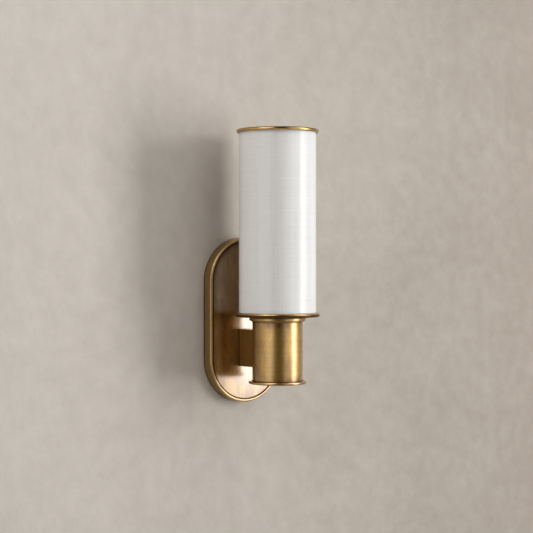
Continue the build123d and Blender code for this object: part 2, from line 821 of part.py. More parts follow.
# Brass ring that caps the shade's top edge: half-round outside, with a lip down inside the liner
with BuildPart() as shade_top_ring:
    ring_top = shade_top + thread_gap + top_ring_web
    ring_foot = ring_top - top_ring_height
    ring_inside = liner_inside - slip - top_ring_lip
    bead_start = shade_radius + top_ring_overhang - top_ring_height / 2
    with BuildSketch(column_profile):
        with BuildLine():
            Line((shade_radius + slip, ring_foot), (bead_start, ring_foot))
            ThreePointArc(
                (bead_start, ring_foot),
                (shade_radius + top_ring_overhang, ring_foot + top_ring_height / 2),
                (bead_start, ring_top),
            )
            Polyline(
                (bead_start, ring_top),
                (ring_inside, ring_top),
                (ring_inside, ring_top - top_ring_lip_drop),
                (ring_inside + top_ring_lip, ring_top - top_ring_lip_drop),
                (ring_inside + top_ring_lip, ring_top - top_ring_web),
                (shade_radius + slip, ring_top - top_ring_web),
                (shade_radius + slip, ring_foot),
            )
        make_face()
    revolve(axis=column_axis)
    top_circles = shade_top_ring.edges().filter_by(GeomType.CIRCLE).group_by(Axis.Z)[-1]
    fillet(top_circles.sort_by(SortBy.RADIUS)[0], top_ring_edge_round)
shade_top_ring.part.label = "shade_top_ring"
export_step(shade_top_ring.part, "parts/shade_top_ring.step")

# Fitter: a flat ring on the lampholder's shoulder, three cranked spokes and a wire ring in the shade's foot
with BuildPart() as shade_fitter:
    with BuildSketch(level(fitter_foot)):
        Circle(fitter_ring_radius)
        Circle(fitter_hole, mode=Mode.SUBTRACT)
    extrude(amount=fitter_metal)
    with BuildSketch(column_profile):
        with Locations((fitter_wire_ring, fitter_wire_height)):
            Circle(fitter_wire)
    revolve(axis=column_axis)
    for number in range(fitter_spokes):
        turn = radians(90 + 360 / fitter_spokes * number)
        spoke_plane = Plane((0, -shade_reach, 0), (cos(turn), sin(turn), 0), (sin(turn), -cos(turn), 0))
        spoke_start = fitter_ring_radius - fitter_spoke
        spoke_height = fitter_foot + fitter_metal / 2
        with BuildLine(spoke_plane) as spoke:
            FilletPolyline(
                (spoke_start, spoke_height),
                (spoke_start + fitter_spoke_bend + fitter_spoke, spoke_height),
                (fitter_wire_ring - fitter_spoke_bend, fitter_wire_height + 2 * fitter_wire),
                (fitter_wire_ring, fitter_wire_height),
                radius=fitter_spoke_bend / 2,
            )
        with BuildSketch(Plane(origin=spoke.line @ 0, z_dir=spoke.line % 0)):
            Circle(fitter_spoke)
        sweep()
shade_fitter.part.label = "shade_fitter"
export_step(shade_fitter.part, "parts/shade_fitter.step")

# Ring that screws down on the fitter, with grip ribs round it
with BuildPart() as shade_retaining_ring:
    with BuildSketch(level(grip_ring_foot)):
        Circle(grip_ring_radius)
        with PolarLocations(grip_ring_radius, grip_ribs):
            Circle(grip_rib_radius)
        Circle(grip_ring_bore, mode=Mode.SUBTRACT)
    extrude(amount=grip_ring_height)
shade_retaining_ring.part.label = "shade_retaining_ring"
export_step(shade_retaining_ring.part, "parts/shade_retaining_ring.step")

# ---------------------------------------------------------------- wiring behind the plate

# Terminal block: three ways on a base with a fixing lug at each end
with BuildPart() as terminal_block:
    with BuildSketch(Plane.XY.offset(block_low)):
        with Locations((0, -panel_back + block_base / 2)):
            Rectangle(block_length, block_base)
        with Locations((0, -panel_back + block_tower / 2)):
            with GridLocations(block_pitch, 0, block_ways, 1):
                Rectangle(block_tower_width, block_tower)
    extrude(amount=block_height)
    with BuildSketch(Plane.XY.offset(block_low)):
        with Locations((0, -lead_lane)):
            with GridLocations(block_pitch, 0, block_ways, 1):
                Circle(sleeve_radius + thread_gap)
    extrude(amount=block_height, mode=Mode.SUBTRACT)
    with BuildSketch(wall_plane(block_front)):
        with Locations((0, block_middle)):
            with GridLocations(block_pitch, 2 * clamp_screw_spread, block_ways, 2):
                Circle(small_screw + screw_gap)
    extrude(amount=lead_lane - block_front, mode=Mode.SUBTRACT)
    with BuildSketch(wall_plane(0)):
        with Locations((0, block_middle)):
            with GridLocations(2 * block_fixing, 0, 2, 1):
                Circle(small_screw + screw_gap)
    extrude(amount=panel_back, mode=Mode.SUBTRACT)
terminal_block.part.label = "terminal_block"
export_step(terminal_block.part, "parts/terminal_block.step")

# Brass sleeves in the block's ways, and the screws that clamp the wires in them
with BuildPart() as terminal_sleeves:
    with BuildSketch(Plane.XY.offset(block_middle - sleeve_length / 2)):
        with Locations((0, -lead_lane)):
            with GridLocations(block_pitch, 0, block_ways, 1):
                Circle(sleeve_radius)
                Circle(sleeve_bore, mode=Mode.SUBTRACT)
    extrude(amount=sleeve_length)
    with BuildSketch(wall_plane(block_front)):
        with Locations((0, block_middle)):
            with GridLocations(block_pitch, 2 * clamp_screw_spread, block_ways, 2):
                Circle(clamp_screw + thread_gap)
    extrude(amount=lead_lane - block_front, mode=Mode.SUBTRACT)
terminal_sleeves.part.label = "terminal_sleeves"
export_step(terminal_sleeves.part, "parts/terminal_sleeves.step")

clamp_seat = lead_lane - sleeve_radius - thread_gap
clamp_screws = screws(
    [
        Plane((way, -clamp_seat, block_middle + rise), (1, 0, 0), (0, 1, 0))
        for way in way_places
        for rise in (clamp_screw_spread, -clamp_screw_spread)
    ],
    clamp_screw,
    sleeve_radius - sleeve_bore,
)
clamp_screws.part.label = "clamp_screws"
export_step(clamp_screws.part, "parts/clamp_screws.step")

lug_face = panel_back - block_base
terminal_block_screws = screws(
    [Plane((side * block_fixing, -lug_face, block_middle), (1, 0, 0), (0, 1, 0)) for side in (1, -1)],
    small_screw,
    block_screw_grip,
)
terminal_block_screws.part.label = "terminal_block_screws"
export_step(terminal_block_screws.part, "parts/terminal_block_screws.step")

# Earth stud brazed to the plate's back, with the ring terminal and the nut on it
with BuildPart() as earth_stud:
    with BuildSketch(wall_plane(panel_back)):
        with Locations((-earth_side, -earth_drop)):
            Circle(main_screw)
    extrude(amount=-earth_stud_length)
earth_stud.part.label = "earth_stud"
export_step(earth_stud.part, "parts/earth_stud.step")

crimp_radius = lead_radius + thread_gap + crimp_wall
crimp_middle = panel_back - crimp_radius
with BuildPart() as ring_terminal:
    with BuildSketch(wall_plane(panel_back)):
        with Locations((-earth_side, -earth_drop)):
            Circle(ring_terminal_radius)
            with Locations((0, crimp_start)):
                Rectangle(2 * crimp_radius, 2 * (crimp_start - main_screw))
            Circle(main_screw + thread_gap, mode=Mode.SUBTRACT)
    extrude(amount=-ring_terminal_metal)
    with BuildSketch(Plane((-earth_side, -crimp_middle, crimp_start - earth_drop))):
        Circle(crimp_radius)
    extrude(amount=crimp_length)
    with BuildSketch(Plane((-earth_side, -crimp_middle, crimp_start - earth_drop))):
        Circle(lead_radius + thread_gap)
    extrude(amount=crimp_length, mode=Mode.SUBTRACT)
ring_terminal.part.label = "ring_terminal"
export_step(ring_terminal.part, "parts/ring_terminal.step")

with BuildPart() as earth_nut:
    with BuildSketch(wall_plane(panel_back - ring_terminal_metal)):
        with Locations((-earth_side, -earth_drop)):
            RegularPolygon(earth_nut_across / 2, 6, major_radius=False)
            Circle(main_screw + thread_gap, mode=Mode.SUBTRACT)
    extrude(amount=-earth_nut_height)
earth_nut.part.label = "earth_nut"
export_step(earth_nut.part, "parts/earth_nut.step")

# Live and neutral leads: from the lampholder's posts, down the tube, across the cup, through the arm
# and up behind the plate into the block
post_mouth = insert_foot - post_height


def lamp_lead(side, way):
    """Lead from the post on one side of the lampholder to one way of the terminal block."""
    lane = side * lead_side
    return lead(
        ((side * post_side, -shade_reach, post_mouth + lead_entry), 0),
        ((side * post_side, -shade_reach, post_mouth - lead_bow), holder_bend),
        ((lane, -shade_reach, tube_top + lead_bow), holder_bend),
        ((lane, -shade_reach, -arm_drop), cup_bend),
        ((lane, -lead_lane, -arm_drop), plate_bend),
        ((way, -lead_lane, block_low - lead_lane), way_bend),
        ((way, -lead_lane, block_low + block_height / 2 - sleeve_length / 2 + lead_entry), 0),
    )


live_lead = lamp_lead(1, way_places[2])
live_lead.part.label = "live_lead"
export_step(live_lead.part, "parts/live_lead.step")

neutral_lead = lamp_lead(-1, way_places[1])
neutral_lead.part.label = "neutral_lead"
export_step(neutral_lead.part, "parts/neutral_lead.step")

# Earth lead: from the ring terminal to the block's remaining way
earth_lead = lead(
    ((-earth_side, -crimp_middle, crimp_start + crimp_length / 2 - earth_drop), 0),
    ((-earth_side, -crimp_middle, crimp_start + 2 * crimp_length - earth_drop), way_bend),
    ((way_places[0], -lead_lane, block_low - lead_lane), way_bend),
    ((way_places[0], -lead_lane, block_low + block_height / 2 - sleeve_length / 2 + lead_entry), 0),
)
earth_lead.part.label = "earth_lead"
export_step(earth_lead.part, "parts/earth_lead.step")

print("lamp top", round(lamp_top, 2), "shade from", round(shade_foot, 2), "to", round(shade_top, 2))
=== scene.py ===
from math import cos, pi, radians, sin, sqrt

import bmesh
import bpy
from mathutils import Matrix, Vector, noise


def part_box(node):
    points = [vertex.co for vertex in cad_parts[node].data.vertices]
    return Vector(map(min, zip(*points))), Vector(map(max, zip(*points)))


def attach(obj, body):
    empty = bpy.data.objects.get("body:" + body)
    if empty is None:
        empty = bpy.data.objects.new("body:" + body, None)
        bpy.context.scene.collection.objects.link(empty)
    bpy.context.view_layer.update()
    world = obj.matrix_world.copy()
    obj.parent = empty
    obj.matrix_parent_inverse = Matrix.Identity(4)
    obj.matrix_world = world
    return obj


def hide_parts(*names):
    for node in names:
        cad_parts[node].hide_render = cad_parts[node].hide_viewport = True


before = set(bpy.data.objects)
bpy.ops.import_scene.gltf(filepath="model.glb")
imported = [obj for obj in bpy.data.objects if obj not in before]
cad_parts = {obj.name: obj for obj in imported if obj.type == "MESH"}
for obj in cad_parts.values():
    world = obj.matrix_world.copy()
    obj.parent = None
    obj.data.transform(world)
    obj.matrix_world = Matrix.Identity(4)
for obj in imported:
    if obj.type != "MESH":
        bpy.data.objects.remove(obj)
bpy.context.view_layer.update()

# ------------------------------------------------------------------ camera
# Long lens on a stand to the left of the light, at the height of its middle, turned a little
# way down so that the horizon lies just above the middle of the picture.
camera_place = (-1.2411, -1.6514, 0.0842)
camera_bearing = radians(38.0)
camera_dip = radians(0.24)
camera_lens = 97.85

camera = bpy.data.objects.new("camera", bpy.data.cameras.new("camera"))
camera.data.sensor_width = 36.0
camera.data.lens = camera_lens
camera.location = camera_place
camera.rotation_euler = (pi / 2 - camera_dip, 0.0, -camera_bearing)
bpy.context.scene.collection.objects.link(camera)
bpy.context.scene.camera = camera
bpy.context.scene.view_settings.view_transform = "Standard"


# ------------------------------------------------------------------ wall and floor
# The wall is smooth painted plaster, a little uneven in tone, and its colour darkens towards the right as
# painted shade where the light falls off. It is open behind the back plate, as at a junction box, and seen
# from behind it is clear. The floor is plain and pale.
mm = 0.001
wall_side = 5.0
wall_gap = 0.1 * mm
wall_opening_inset = 1.1 * mm
floor_depth = 1.3
floor_side = 9.0
plaster_pale = (0.668, 0.621, 0.563, 1.0)
plaster_dull_and_shaded = (0.318, 0.279, 0.239, 1.0)
floor_pale = (0.60, 0.58, 0.55, 1.0)
floor_dull = (0.56, 0.54, 0.51, 1.0)
corner_signs = ((1, 1), (-1, 1), (-1, -1), (1, -1))


class Wire:
    """One socket among a finish's nodes. Arithmetic on it adds Math nodes, and node() adds any other."""

    def __init__(self, tree, socket=None):
        self.tree = tree
        self.socket = socket

    def node(self, kind, settings=None, sockets=None, output=0):
        made = self.tree.nodes.new("ShaderNode" + kind)
        for name, value in (settings or {}).items():
            setattr(made, name, value)
        for key, value in (sockets or {}).items():
            if isinstance(value, Wire):
                self.tree.links.new(value.socket, made.inputs[key])
            else:
                made.inputs[key].default_value = value
        return Wire(self.tree, made.outputs[output] if made.outputs else None)

    def split(self):
        parts = self.node("SeparateXYZ", {}, {0: self}).socket.node.outputs
        return [Wire(self.tree, part) for part in parts]

    def maths(self, operation, *others):
        return self.node("Math", {"operation": operation}, dict(enumerate((self, *others))))

    def rise(self, low, high):
        """0 up to low and 1 from high on, smooth between them."""
        limits = {0: self, 1: low, 2: high}
        return self.node("MapRange", {"interpolation_type": "SMOOTHSTEP"}, limits)

    def __add__(self, other):
        return self.maths("ADD", other)

    def __radd__(self, other):
        return self.maths("ADD", other)

    def __sub__(self, other):
        return self.maths("SUBTRACT", other)

    def __rsub__(self, other):
        return self.node("Math", {"operation": "SUBTRACT"}, {0: other, 1: self})

    def __mul__(self, other):
        return self.maths("MULTIPLY", other)

    def __rmul__(self, other):
        return self.maths("MULTIPLY", other)

    def __truediv__(self, other):
        return self.maths("DIVIDE", other)

    def __pow__(self, other):
        return self.maths("POWER", other)

    def __abs__(self):
        return self.maths("ABSOLUTE")


def new_finish(name):
    """An empty finish, the wire its nodes start from, and the place on the piece in metres."""
    finish = bpy.data.materials.new(name)
    finish.use_nodes = True
    finish.node_tree.nodes.clear()
    start = Wire(finish.node_tree)
    return finish, start, start.node("TexCoord", output="Object")


def combine(x, y, z):
    """Three values as one vector; at least one of them is a wire."""
    wire = next(value for value in (x, y, z) if isinstance(value, Wire))
    return wire.node("CombineXYZ", {}, {0: x, 1: y, 2: z})


def cloud(place, scale, detail=3.0, roughness=0.5):
    """Soft noise from about 0.3 to 0.7, scale patches to the metre."""
    sockets = {"Vector": place, "Scale": scale, "Detail": detail, "Roughness": roughness}
    return place.node("TexNoise", {}, sockets)


def tint(share, first, second):
    """Colour from first to second as share goes from 0 to 1."""
    return share.node("Mix", {"data_type": "RGBA"}, {0: share, 6: first, 7: second}, 2)


def bumped(height, depth):
    """Normal of a surface raised by height times depth."""
    return height.node("Bump", {}, {"Strength": 1.0, "Distance": depth, "Height": height})


def lay_on(start, **sockets):
    """Joins a principled surface with these sockets to the finish."""
    named = {name.replace("_", " "): value for name, value in sockets.items()}
    surface = start.node("BsdfPrincipled", {}, named)
    start.node("OutputMaterial", {}, {"Surface": surface})
    return surface


def painted_plaster():
    """Trowelled plaster under flat paint, darker to the right as painted shade; clear from behind it."""
    finish, start, place = new_finish("painted_plaster")
    trowel = cloud(place, 5.0, 4.0, 0.62)
    grain = cloud(place, 900.0, 2.0)
    falloff_across = place.split()[0]
    mottle = cloud(place, 38.0, 5.0, 0.6)
    unevenness = 0.36 * (trowel - 0.5) + 0.42 * (mottle - 0.5) + 0.30 * (grain - 0.5)
    # Towards +X the colour runs to the darker one: painted shade of the light falling off, under random
    # unevenness.
    colour = tint(falloff_across.rise(-0.6, 0.75) + unevenness, plaster_pale, plaster_dull_and_shaded)
    surface = start.node("BsdfPrincipled", {}, {
        "Base Color": colour,
        "Roughness": 0.62 + 0.1 * grain,
        "Specular IOR Level": 0.2,
        "Normal": bumped(trowel + 0.3 * mottle + 0.04 * grain, 3.6 * mm),
    })
    clear = start.node("BsdfTransparent")
    from_behind = start.node("NewGeometry", output="Backfacing")
    mixed = start.node("MixShader", {}, {0: from_behind, 1: surface, 2: clear})
    start.node("OutputMaterial", {}, {"Surface": mixed})
    return finish


def pale_floor():
    """Plain matt floor covering."""
    finish, start, place = new_finish("pale_floor")
    drift = cloud(place, 3.0, 3.0)
    lay_on(start, Base_Color=tint(drift, floor_pale, floor_dull), Roughness=0.7 + 0.1 * drift)
    return finish


def closed_outline(bm, places):
    """Joins the places in turn, the last to the first, and returns their corners and the edges."""
    corners = [bm.verts.new(place) for place in places]
    edges = [bm.edges.new(pair) for pair in zip(corners, corners[1:] + corners[:1])]
    return corners, edges


def stadium_loop(bm, radius, end_rise, slices=48):
    """Closed loop of edges with straight sides and half-round ends, on the wall plane."""
    start = bm.verts.new((radius, 0, end_rise))
    top = bmesh.ops.spin(bm, geom=[start], cent=(0, 0, end_rise), axis=(0, -1, 0), dvec=(0, 0, 0),
                         angle=pi, steps=slices)["geom_last"][0]
    foot = bm.verts.new((-radius, 0, -end_rise))
    bm.edges.new((top, foot))
    last = bmesh.ops.spin(bm, geom=[foot], cent=(0, 0, -end_rise), axis=(0, -1, 0), dvec=(0, 0, 0),
                          angle=pi, steps=slices)["geom_last"][0]
    bm.edges.new((last, start))


def set_up(bm, name, finish):
    """Makes the finished mesh a thing in the room."""
    mesh = bpy.data.meshes.new(name)
    bm.to_mesh(mesh)
    bm.free()
    mesh.materials.append(finish)
    thing = bpy.data.objects.new(name, mesh)
    bpy.context.scene.collection.objects.link(thing)
    return thing


plate_low, plate_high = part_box("backplate")
plate_radius = (plate_high.x - plate_low.x) / 2
plate_end = plate_high.z - plate_radius

bm = bmesh.new()
closed_outline(bm, [(side * wall_side / 2, 0, level * wall_side / 2) for side, level in corner_signs])
stadium_loop(bm, plate_radius - wall_opening_inset, plate_end)
bmesh.ops.triangle_fill(bm, use_beauty=True, edges=bm.edges[:], normal=(0, -1, 0))
bmesh.ops.translate(bm, verts=bm.verts[:], vec=(0, wall_gap, 0))
if bm.faces[:][0].normal.y > 0:
    bmesh.ops.reverse_faces(bm, faces=bm.faces[:])
wall = set_up(bm, "wall", painted_plaster())

bm = bmesh.new()
bmesh.ops.create_grid(bm, x_segments=1, y_segments=1, size=floor_side / 2)
bmesh.ops.translate(bm, verts=bm.verts[:], vec=(0, 0, -floor_depth))
floor = set_up(bm, "floor", pale_floor())


# ------------------------------------------------------------------ studio lamps
# The key at the front right throws the shadow to the left. Two tall lamps beside it show only in
# gloss, as the bright line down the shade and the cup. Weak ones fill from the front, the left and
# above, and one lights the back. A dark flag behind the camera is what the brass shows between them.
column_reach = -(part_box("lamp_cup")[0].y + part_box("lamp_cup")[1].y) / 2
lamp_height = 0.1
radiance_to_power = 4
cool_white = (0.985, 0.99, 1.0)
warm_white = (1.0, 0.985, 0.965)
warmer_white = (1.0, 0.985, 0.96)
soft_white = (1.0, 0.99, 0.975)
plain_white = (1.0, 1.0, 1.0)


def softbox(name, bearing, tilt, distance, size, radiance, colour, lights=True, mirrored=True):
    """Area lamp that faces the column from a bearing, right of straight out from the wall, and a tilt.

    Both are in degrees. The tilt raises the lamp and turns it down. One that only lights doesn't show in
    gloss, and one that is only mirrored shows in gloss and lights nothing dull.
    """
    lamp = bpy.data.lights.new(name, "AREA")
    lamp.shape = "RECTANGLE"
    lamp.size, lamp.size_y = size
    lamp.energy = radiance_to_power * radiance * size[0] * size[1]
    lamp.color = colour
    stand = bpy.data.objects.new(name, lamp)
    level, rise = cos(radians(tilt)), sin(radians(tilt))
    away = Vector((sin(radians(bearing)) * level, -cos(radians(bearing)) * level, rise))
    stand.location = Vector((0, -column_reach, lamp_height)) + distance * away
    stand.rotation_euler = (pi / 2 - radians(tilt), 0, radians(bearing))
    stand.visible_diffuse = lights
    stand.visible_glossy = mirrored
    bpy.context.scene.collection.objects.link(stand)


softbox("key_softbox", 50, 2, 2.1, (0.55, 1.5), 10.6, cool_white, mirrored=False)
softbox("key_gloss", 43, 3, 2.2, (1.25, 2.8), 1.6, cool_white, lights=False)
softbox("key_core", 41, 4, 2.15, (0.45, 1.5), 2.6, cool_white, lights=False)
softbox("front_fill", 10, 3, 2.2, (1.0, 2.4), 0.42, warm_white)
softbox("left_fill", -81, 3, 2.2, (1.65, 2.4), 0.52, warmer_white)
softbox("overhead_left", -74, 44, 2.2, (1.5, 1.3), 1.85, warm_white)
softbox("overhead_right", 18, 50, 2.2, (1.3, 1.3), 1.15, soft_white, mirrored=False)
softbox("overhead_gloss", 44, 46, 2.2, (0.8, 1.1), 2.0, soft_white, lights=False)
softbox("back_fill", 160, 15, 2.2, (1.6, 1.6), 1.2, plain_white)

flag_low, flag_high = -51, -11
flag_distance = 2.7
flag_height = 6.5
flag_black = (0.035, 0.030, 0.026, 1.0)
flag_grey = (0.05, 0.045, 0.04, 1.0)
studio_air = (1.0, 0.97, 0.93, 1.0)
studio_air_strength = 0.37


def only(kind, results):
    """Those of an operator's results that are of this kind."""
    return [part for part in results if isinstance(part, kind)]


bm = bmesh.new()
flag_foot = bm.verts.new(Vector((sin(radians(flag_low)), -cos(radians(flag_low)), 0)) * flag_distance)
bmesh.ops.spin(bm, geom=[flag_foot], cent=(0, 0, 0), axis=(0, 0, 1), dvec=(0, 0, 0),
               angle=radians(flag_high - flag_low), steps=12)
raised = bmesh.ops.extrude_edge_only(bm, edges=bm.edges[:])["geom"]
bmesh.ops.translate(bm, verts=only(bmesh.types.BMVert, raised), vec=(0, 0, flag_height))
bmesh.ops.translate(bm, verts=bm.verts[:], vec=(0, -column_reach, -floor_depth))
flag_cloth, start, place = new_finish("black_flag_cloth")
lay_on(start, Base_Color=tint(cloud(place, 400.0), flag_black, flag_grey), Roughness=0.9)
flag = set_up(bm, "flag", flag_cloth)
flag.visible_camera = False

world = bpy.data.worlds.new("studio")
world.use_nodes = True
world.node_tree.nodes["Background"].inputs["Color"].default_value = studio_air
world.node_tree.nodes["Background"].inputs["Strength"].default_value = studio_air_strength
bpy.context.scene.world = world


# ------------------------------------------------------------------ mounting bracket
# A strap of galvanised sheet steel that is screwed to the junction box, with a wire hole, two
# slots and an ear bent forward at each end. Its earth screw is dyed green.
zinc_bright = (0.66, 0.67, 0.69, 1.0)
zinc_dull = (0.42, 0.43, 0.46, 1.0)
spangle = 160.0
earth_green = (0.035, 0.26, 0.09, 1.0)
earth_green_dark = (0.02, 0.16, 0.06, 1.0)


def galvanised():
    """Zinc on steel: crystal patches of different brightness, dulled here and there."""
    finish, start, place = new_finish("galvanised_steel")
    crystals = start.node("TexVoronoi", {"feature": "F1"}, {"Vector": place, "Scale": spangle}, "Color")
    crystal = crystals.split()[0]
    dulling = cloud(place, 70.0, 5.0, 0.6)
    grain = cloud(place, 2500.0, 2.0)
    shade = (0.55 * crystal + 0.9 * dulling).rise(0.35, 1.05)
    lay_on(
        start,
        Base_Color=tint(shade, zinc_bright, zinc_dull),
        Metallic=1.0,
        Roughness=0.30 + 0.18 * shade + 0.06 * grain,
        Normal=bumped(grain + 0.4 * crystal, 0.006 * mm),
    )
    return finish


def dress(finish, *nodes):
    """Gives pieces that keep their own shape this finish."""
    for name in nodes:
        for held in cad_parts[name].material_slots:
            held.material = finish


def dyed_screw():
    """Green dye on a plated screw, worn through a little."""
    finish, start, place = new_finish("green_dyed_screw")
    wear = cloud(place, 900.0, 4.0, 0.6)
    lay_on(
        start,
        Base_Color=tint(wear.rise(0.35, 0.75), earth_green, earth_green_dark),
        Metallic=0.75,
        Roughness=0.28 + 0.25 * wear,
        Normal=bumped(wear, 0.01 * mm),
    )
    return finish


zinc = galvanised()
dress(zinc, "mounting_bracket")
dress(dyed_screw(), "bracket_earth_screw")


# ------------------------------------------------------------------ back plate
# A pressed and machined brass plate with round ends, hollow behind. A band runs round the rim, a cut
# groove inside it, and the panel lies a little lower. Aged by hand, rubbed back and lacquered.
rim_band = 3.3 * mm
groove_width = 1.5 * mm
groove_depth = 1.0 * mm
panel_drop = 0.8 * mm
panel_metal = 2.2 * mm
plate_wall = 2.2 * mm
plate_edge_round = 2.2 * mm
plate_edge_break = 0.35 * mm
wire_hole = 6.0 * mm
screw_hole = 2.2 * mm
arm_screw_rise = 17.0 * mm
locking_depth = 9.0 * mm
locking_bore = 5.0 * mm
drill_start = 1.0 * mm
# The rubbed colour also paints a highlight, and the aged and wax colours also paint shade and reflection.
brass_light = (0.650, 0.378, 0.080, 1.0)
brass_rubbed_and_lit = (0.760, 0.510, 0.185, 1.0)
brass_aged_and_shaded = (0.250, 0.120, 0.018, 1.0)
brass_wax_and_shade = (0.055, 0.024, 0.007, 1.0)
crease_angle = radians(35.0)
weld_distance = 0.001 * mm
fewest_round_steps = 3
round_steps_per_mm = 2.5
largest_stepped_round = 6.0 * mm
drill_sides = 40

arm_low, arm_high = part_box("arm")
arm_middle = (arm_low.z + arm_high.z) / 2
groove_out = plate_radius - rim_band
panel_face = -plate_low.y - panel_drop
panel_back = panel_face - panel_metal


def aged_brass(name, grain, rubbed_and_lit=None, wax_and_shade=None, smoke_and_shade=None, lacquer=1.95, dullness=0.29):
    """Lacquered brass, cloudy where it was darkened, with tool marks along grain.

    Each of grain and the three masks after it takes the wires x, y and z. They give the place that the tool
    marks read, and masks of the edges that were rubbed bright, with a painted highlight among them; of the
    corners that kept their wax, with painted shade and painted reflection among them; and of the faces that
    the rubbing didn't reach, with painted shade among them. The higher the lacquer's index, the more it
    shines; dullness is the roughness of the metal where it was polished best.
    """
    finish, start, place = new_finish(name)
    x, y, z = place.split()
    patches = cloud(combine(x * 46.0, y * 46.0, z * 20.0), 1.0, 6.0, 0.64)
    streaks = cloud(combine(x * 190.0, y * 190.0, z * 12.0), 1.0, 4.0, 0.6)
    specks = cloud(place, 420.0, 3.0, 0.6)
    marks = cloud(grain(x, y, z), 1.0, 5.0, 0.7)
    broad_marks = cloud(grain(x, y, z), 0.17, 3.0, 0.6)
    aged = (patches + 0.22 * specks + 0.18 * (broad_marks - 0.5) + 0.15 * (streaks - 0.5)).rise(0.46, 0.82)
    depth = aged * 0.66
    # The smoked mask is patina on the plate and cup, and painted shade on the collar under the gallery.
    if smoke_and_shade:
        depth = (depth + 0.66 * smoke_and_shade(x, y, z)).maths("MINIMUM", 1.0)
    colour = tint(depth, brass_light, brass_aged_and_shaded)
    rough = dullness + 0.10 * aged + 0.08 * marks
    gloss = 1.0 - 0.3 * specks
    # The rubbed mask lightens worn edges; on the base it is a painted highlight.
    if rubbed_and_lit:
        rubbed_and_lit_share = rubbed_and_lit(x, y, z)
        colour = tint(rubbed_and_lit_share * 0.5, colour, brass_rubbed_and_lit)
        rough = rough - 0.05 * rubbed_and_lit_share
        gloss = gloss * (1 - 0.5 * rubbed_and_lit_share)
    # The waxed mask darkens wax in hollows; elsewhere it is painted shade and painted reflection.
    if wax_and_shade:
        dark = wax_and_shade(x, y, z)
        colour = tint(dark * 0.92, colour, brass_wax_and_shade)
        rough = rough + 0.2 * dark
        gloss = gloss * (1 - 0.95 * dark)
    lay_on(
        start,
        Base_Color=colour,
        Metallic=1.0,
        Roughness=rough,
        Coat_Weight=gloss,
        Coat_Roughness=0.20,
        Coat_IOR=lacquer,
        Normal=bumped(0.6 * marks + 0.5 * patches + 0.1 * streaks + 0.1 * specks, 0.035 * mm),
    )
    return finish


def from_rim(x, z):
    """Distance of a point from the plate's inner line of centres, which is the same all along its rim."""
    past_end = (abs(z) - plate_end).maths("MAXIMUM", 0.0)
    return (x * x + past_end * past_end) ** 0.5


def plate_grain(x, y, z):
    """Brushed up and down."""
    return combine(x * 2600.0, y * 2600.0, z * 40.0)


def plate_rubbed(x, y, z):
    """The whole rim, and the inner edge of its band most."""
    inner = from_rim(x, z)
    inner_edge = inner.rise(groove_out - 0.1 * mm, groove_out + 0.1 * mm)
    inner_edge = inner_edge * (1 - inner.rise(groove_out + 0.3 * mm, groove_out + 0.8 * mm))
    facing = (0 - y).rise(panel_face, panel_face + 0.6 * mm)
    rim = inner.rise(groove_out, groove_out + 0.3 * mm)
    return (inner_edge * facing).maths("MAXIMUM", 0.7 * rim)


def plate_wax_and_painted_shade(x, y, z):
    """Wax in the groove and a painted reflection beside it from the arm up, a little on the band,
    and painted shade on the rim's side and at its foot on the wall.
    """
    inner = from_rim(x, z)
    groove_edge = groove_out - groove_width
    groove = inner.rise(groove_edge - 1.4 * mm, groove_edge + 0.1 * mm)
    # Painted reflection: the dark cup and arm that the panel mirrors beside the groove, from the arm up.
    painted_reflection_beside = 0.7 * inner.rise(groove_edge - 10.0 * mm, groove_edge)
    painted_reflection_beside = painted_reflection_beside * z.rise(arm_low.z - 14.0 * mm, arm_low.z)
    groove = (groove + painted_reflection_beside) * (1 - inner.rise(groove_out - 0.05 * mm, groove_out + 0.2 * mm))
    band = inner.rise(groove_out + 0.2 * mm, groove_out + 0.8 * mm)
    # Painted shade on the rim's side and at its foot against the wall.
    side = inner.rise(plate_radius - 0.5 * mm, plate_radius - 0.1 * mm)
    foot = 1 - (0 - y).rise(0.4 * mm, 3.5 * mm)
    return (groove + 0.2 * band + 0.3 * side + 0.6 * foot).maths("MINIMUM", 1.0)


def plate_smoked(x, y, z):
    """The panel inside the groove."""
    return 1 - from_rim(x, z).rise(groove_out - groove_width, groove_out)


def section(bm, corners):
    """Half a section as a chain of edges from (distance out, height, round) corners, with the rounds cut."""
    chain = [bm.verts.new((out, 0, height)) for out, height, turn in corners]
    for pair in zip(chain, chain[1:]):
        bm.edges.new(pair)
    for vertex, (out, height, turn) in zip(chain, corners):
        if turn:
            steps = round(min(turn, largest_stepped_round) / mm * round_steps_per_mm)
            bmesh.ops.bevel(bm, geom=[vertex], offset=turn, offset_type="OFFSET",
                            segments=fewest_round_steps + steps, profile=0.5, affect="VERTICES", material=-1)


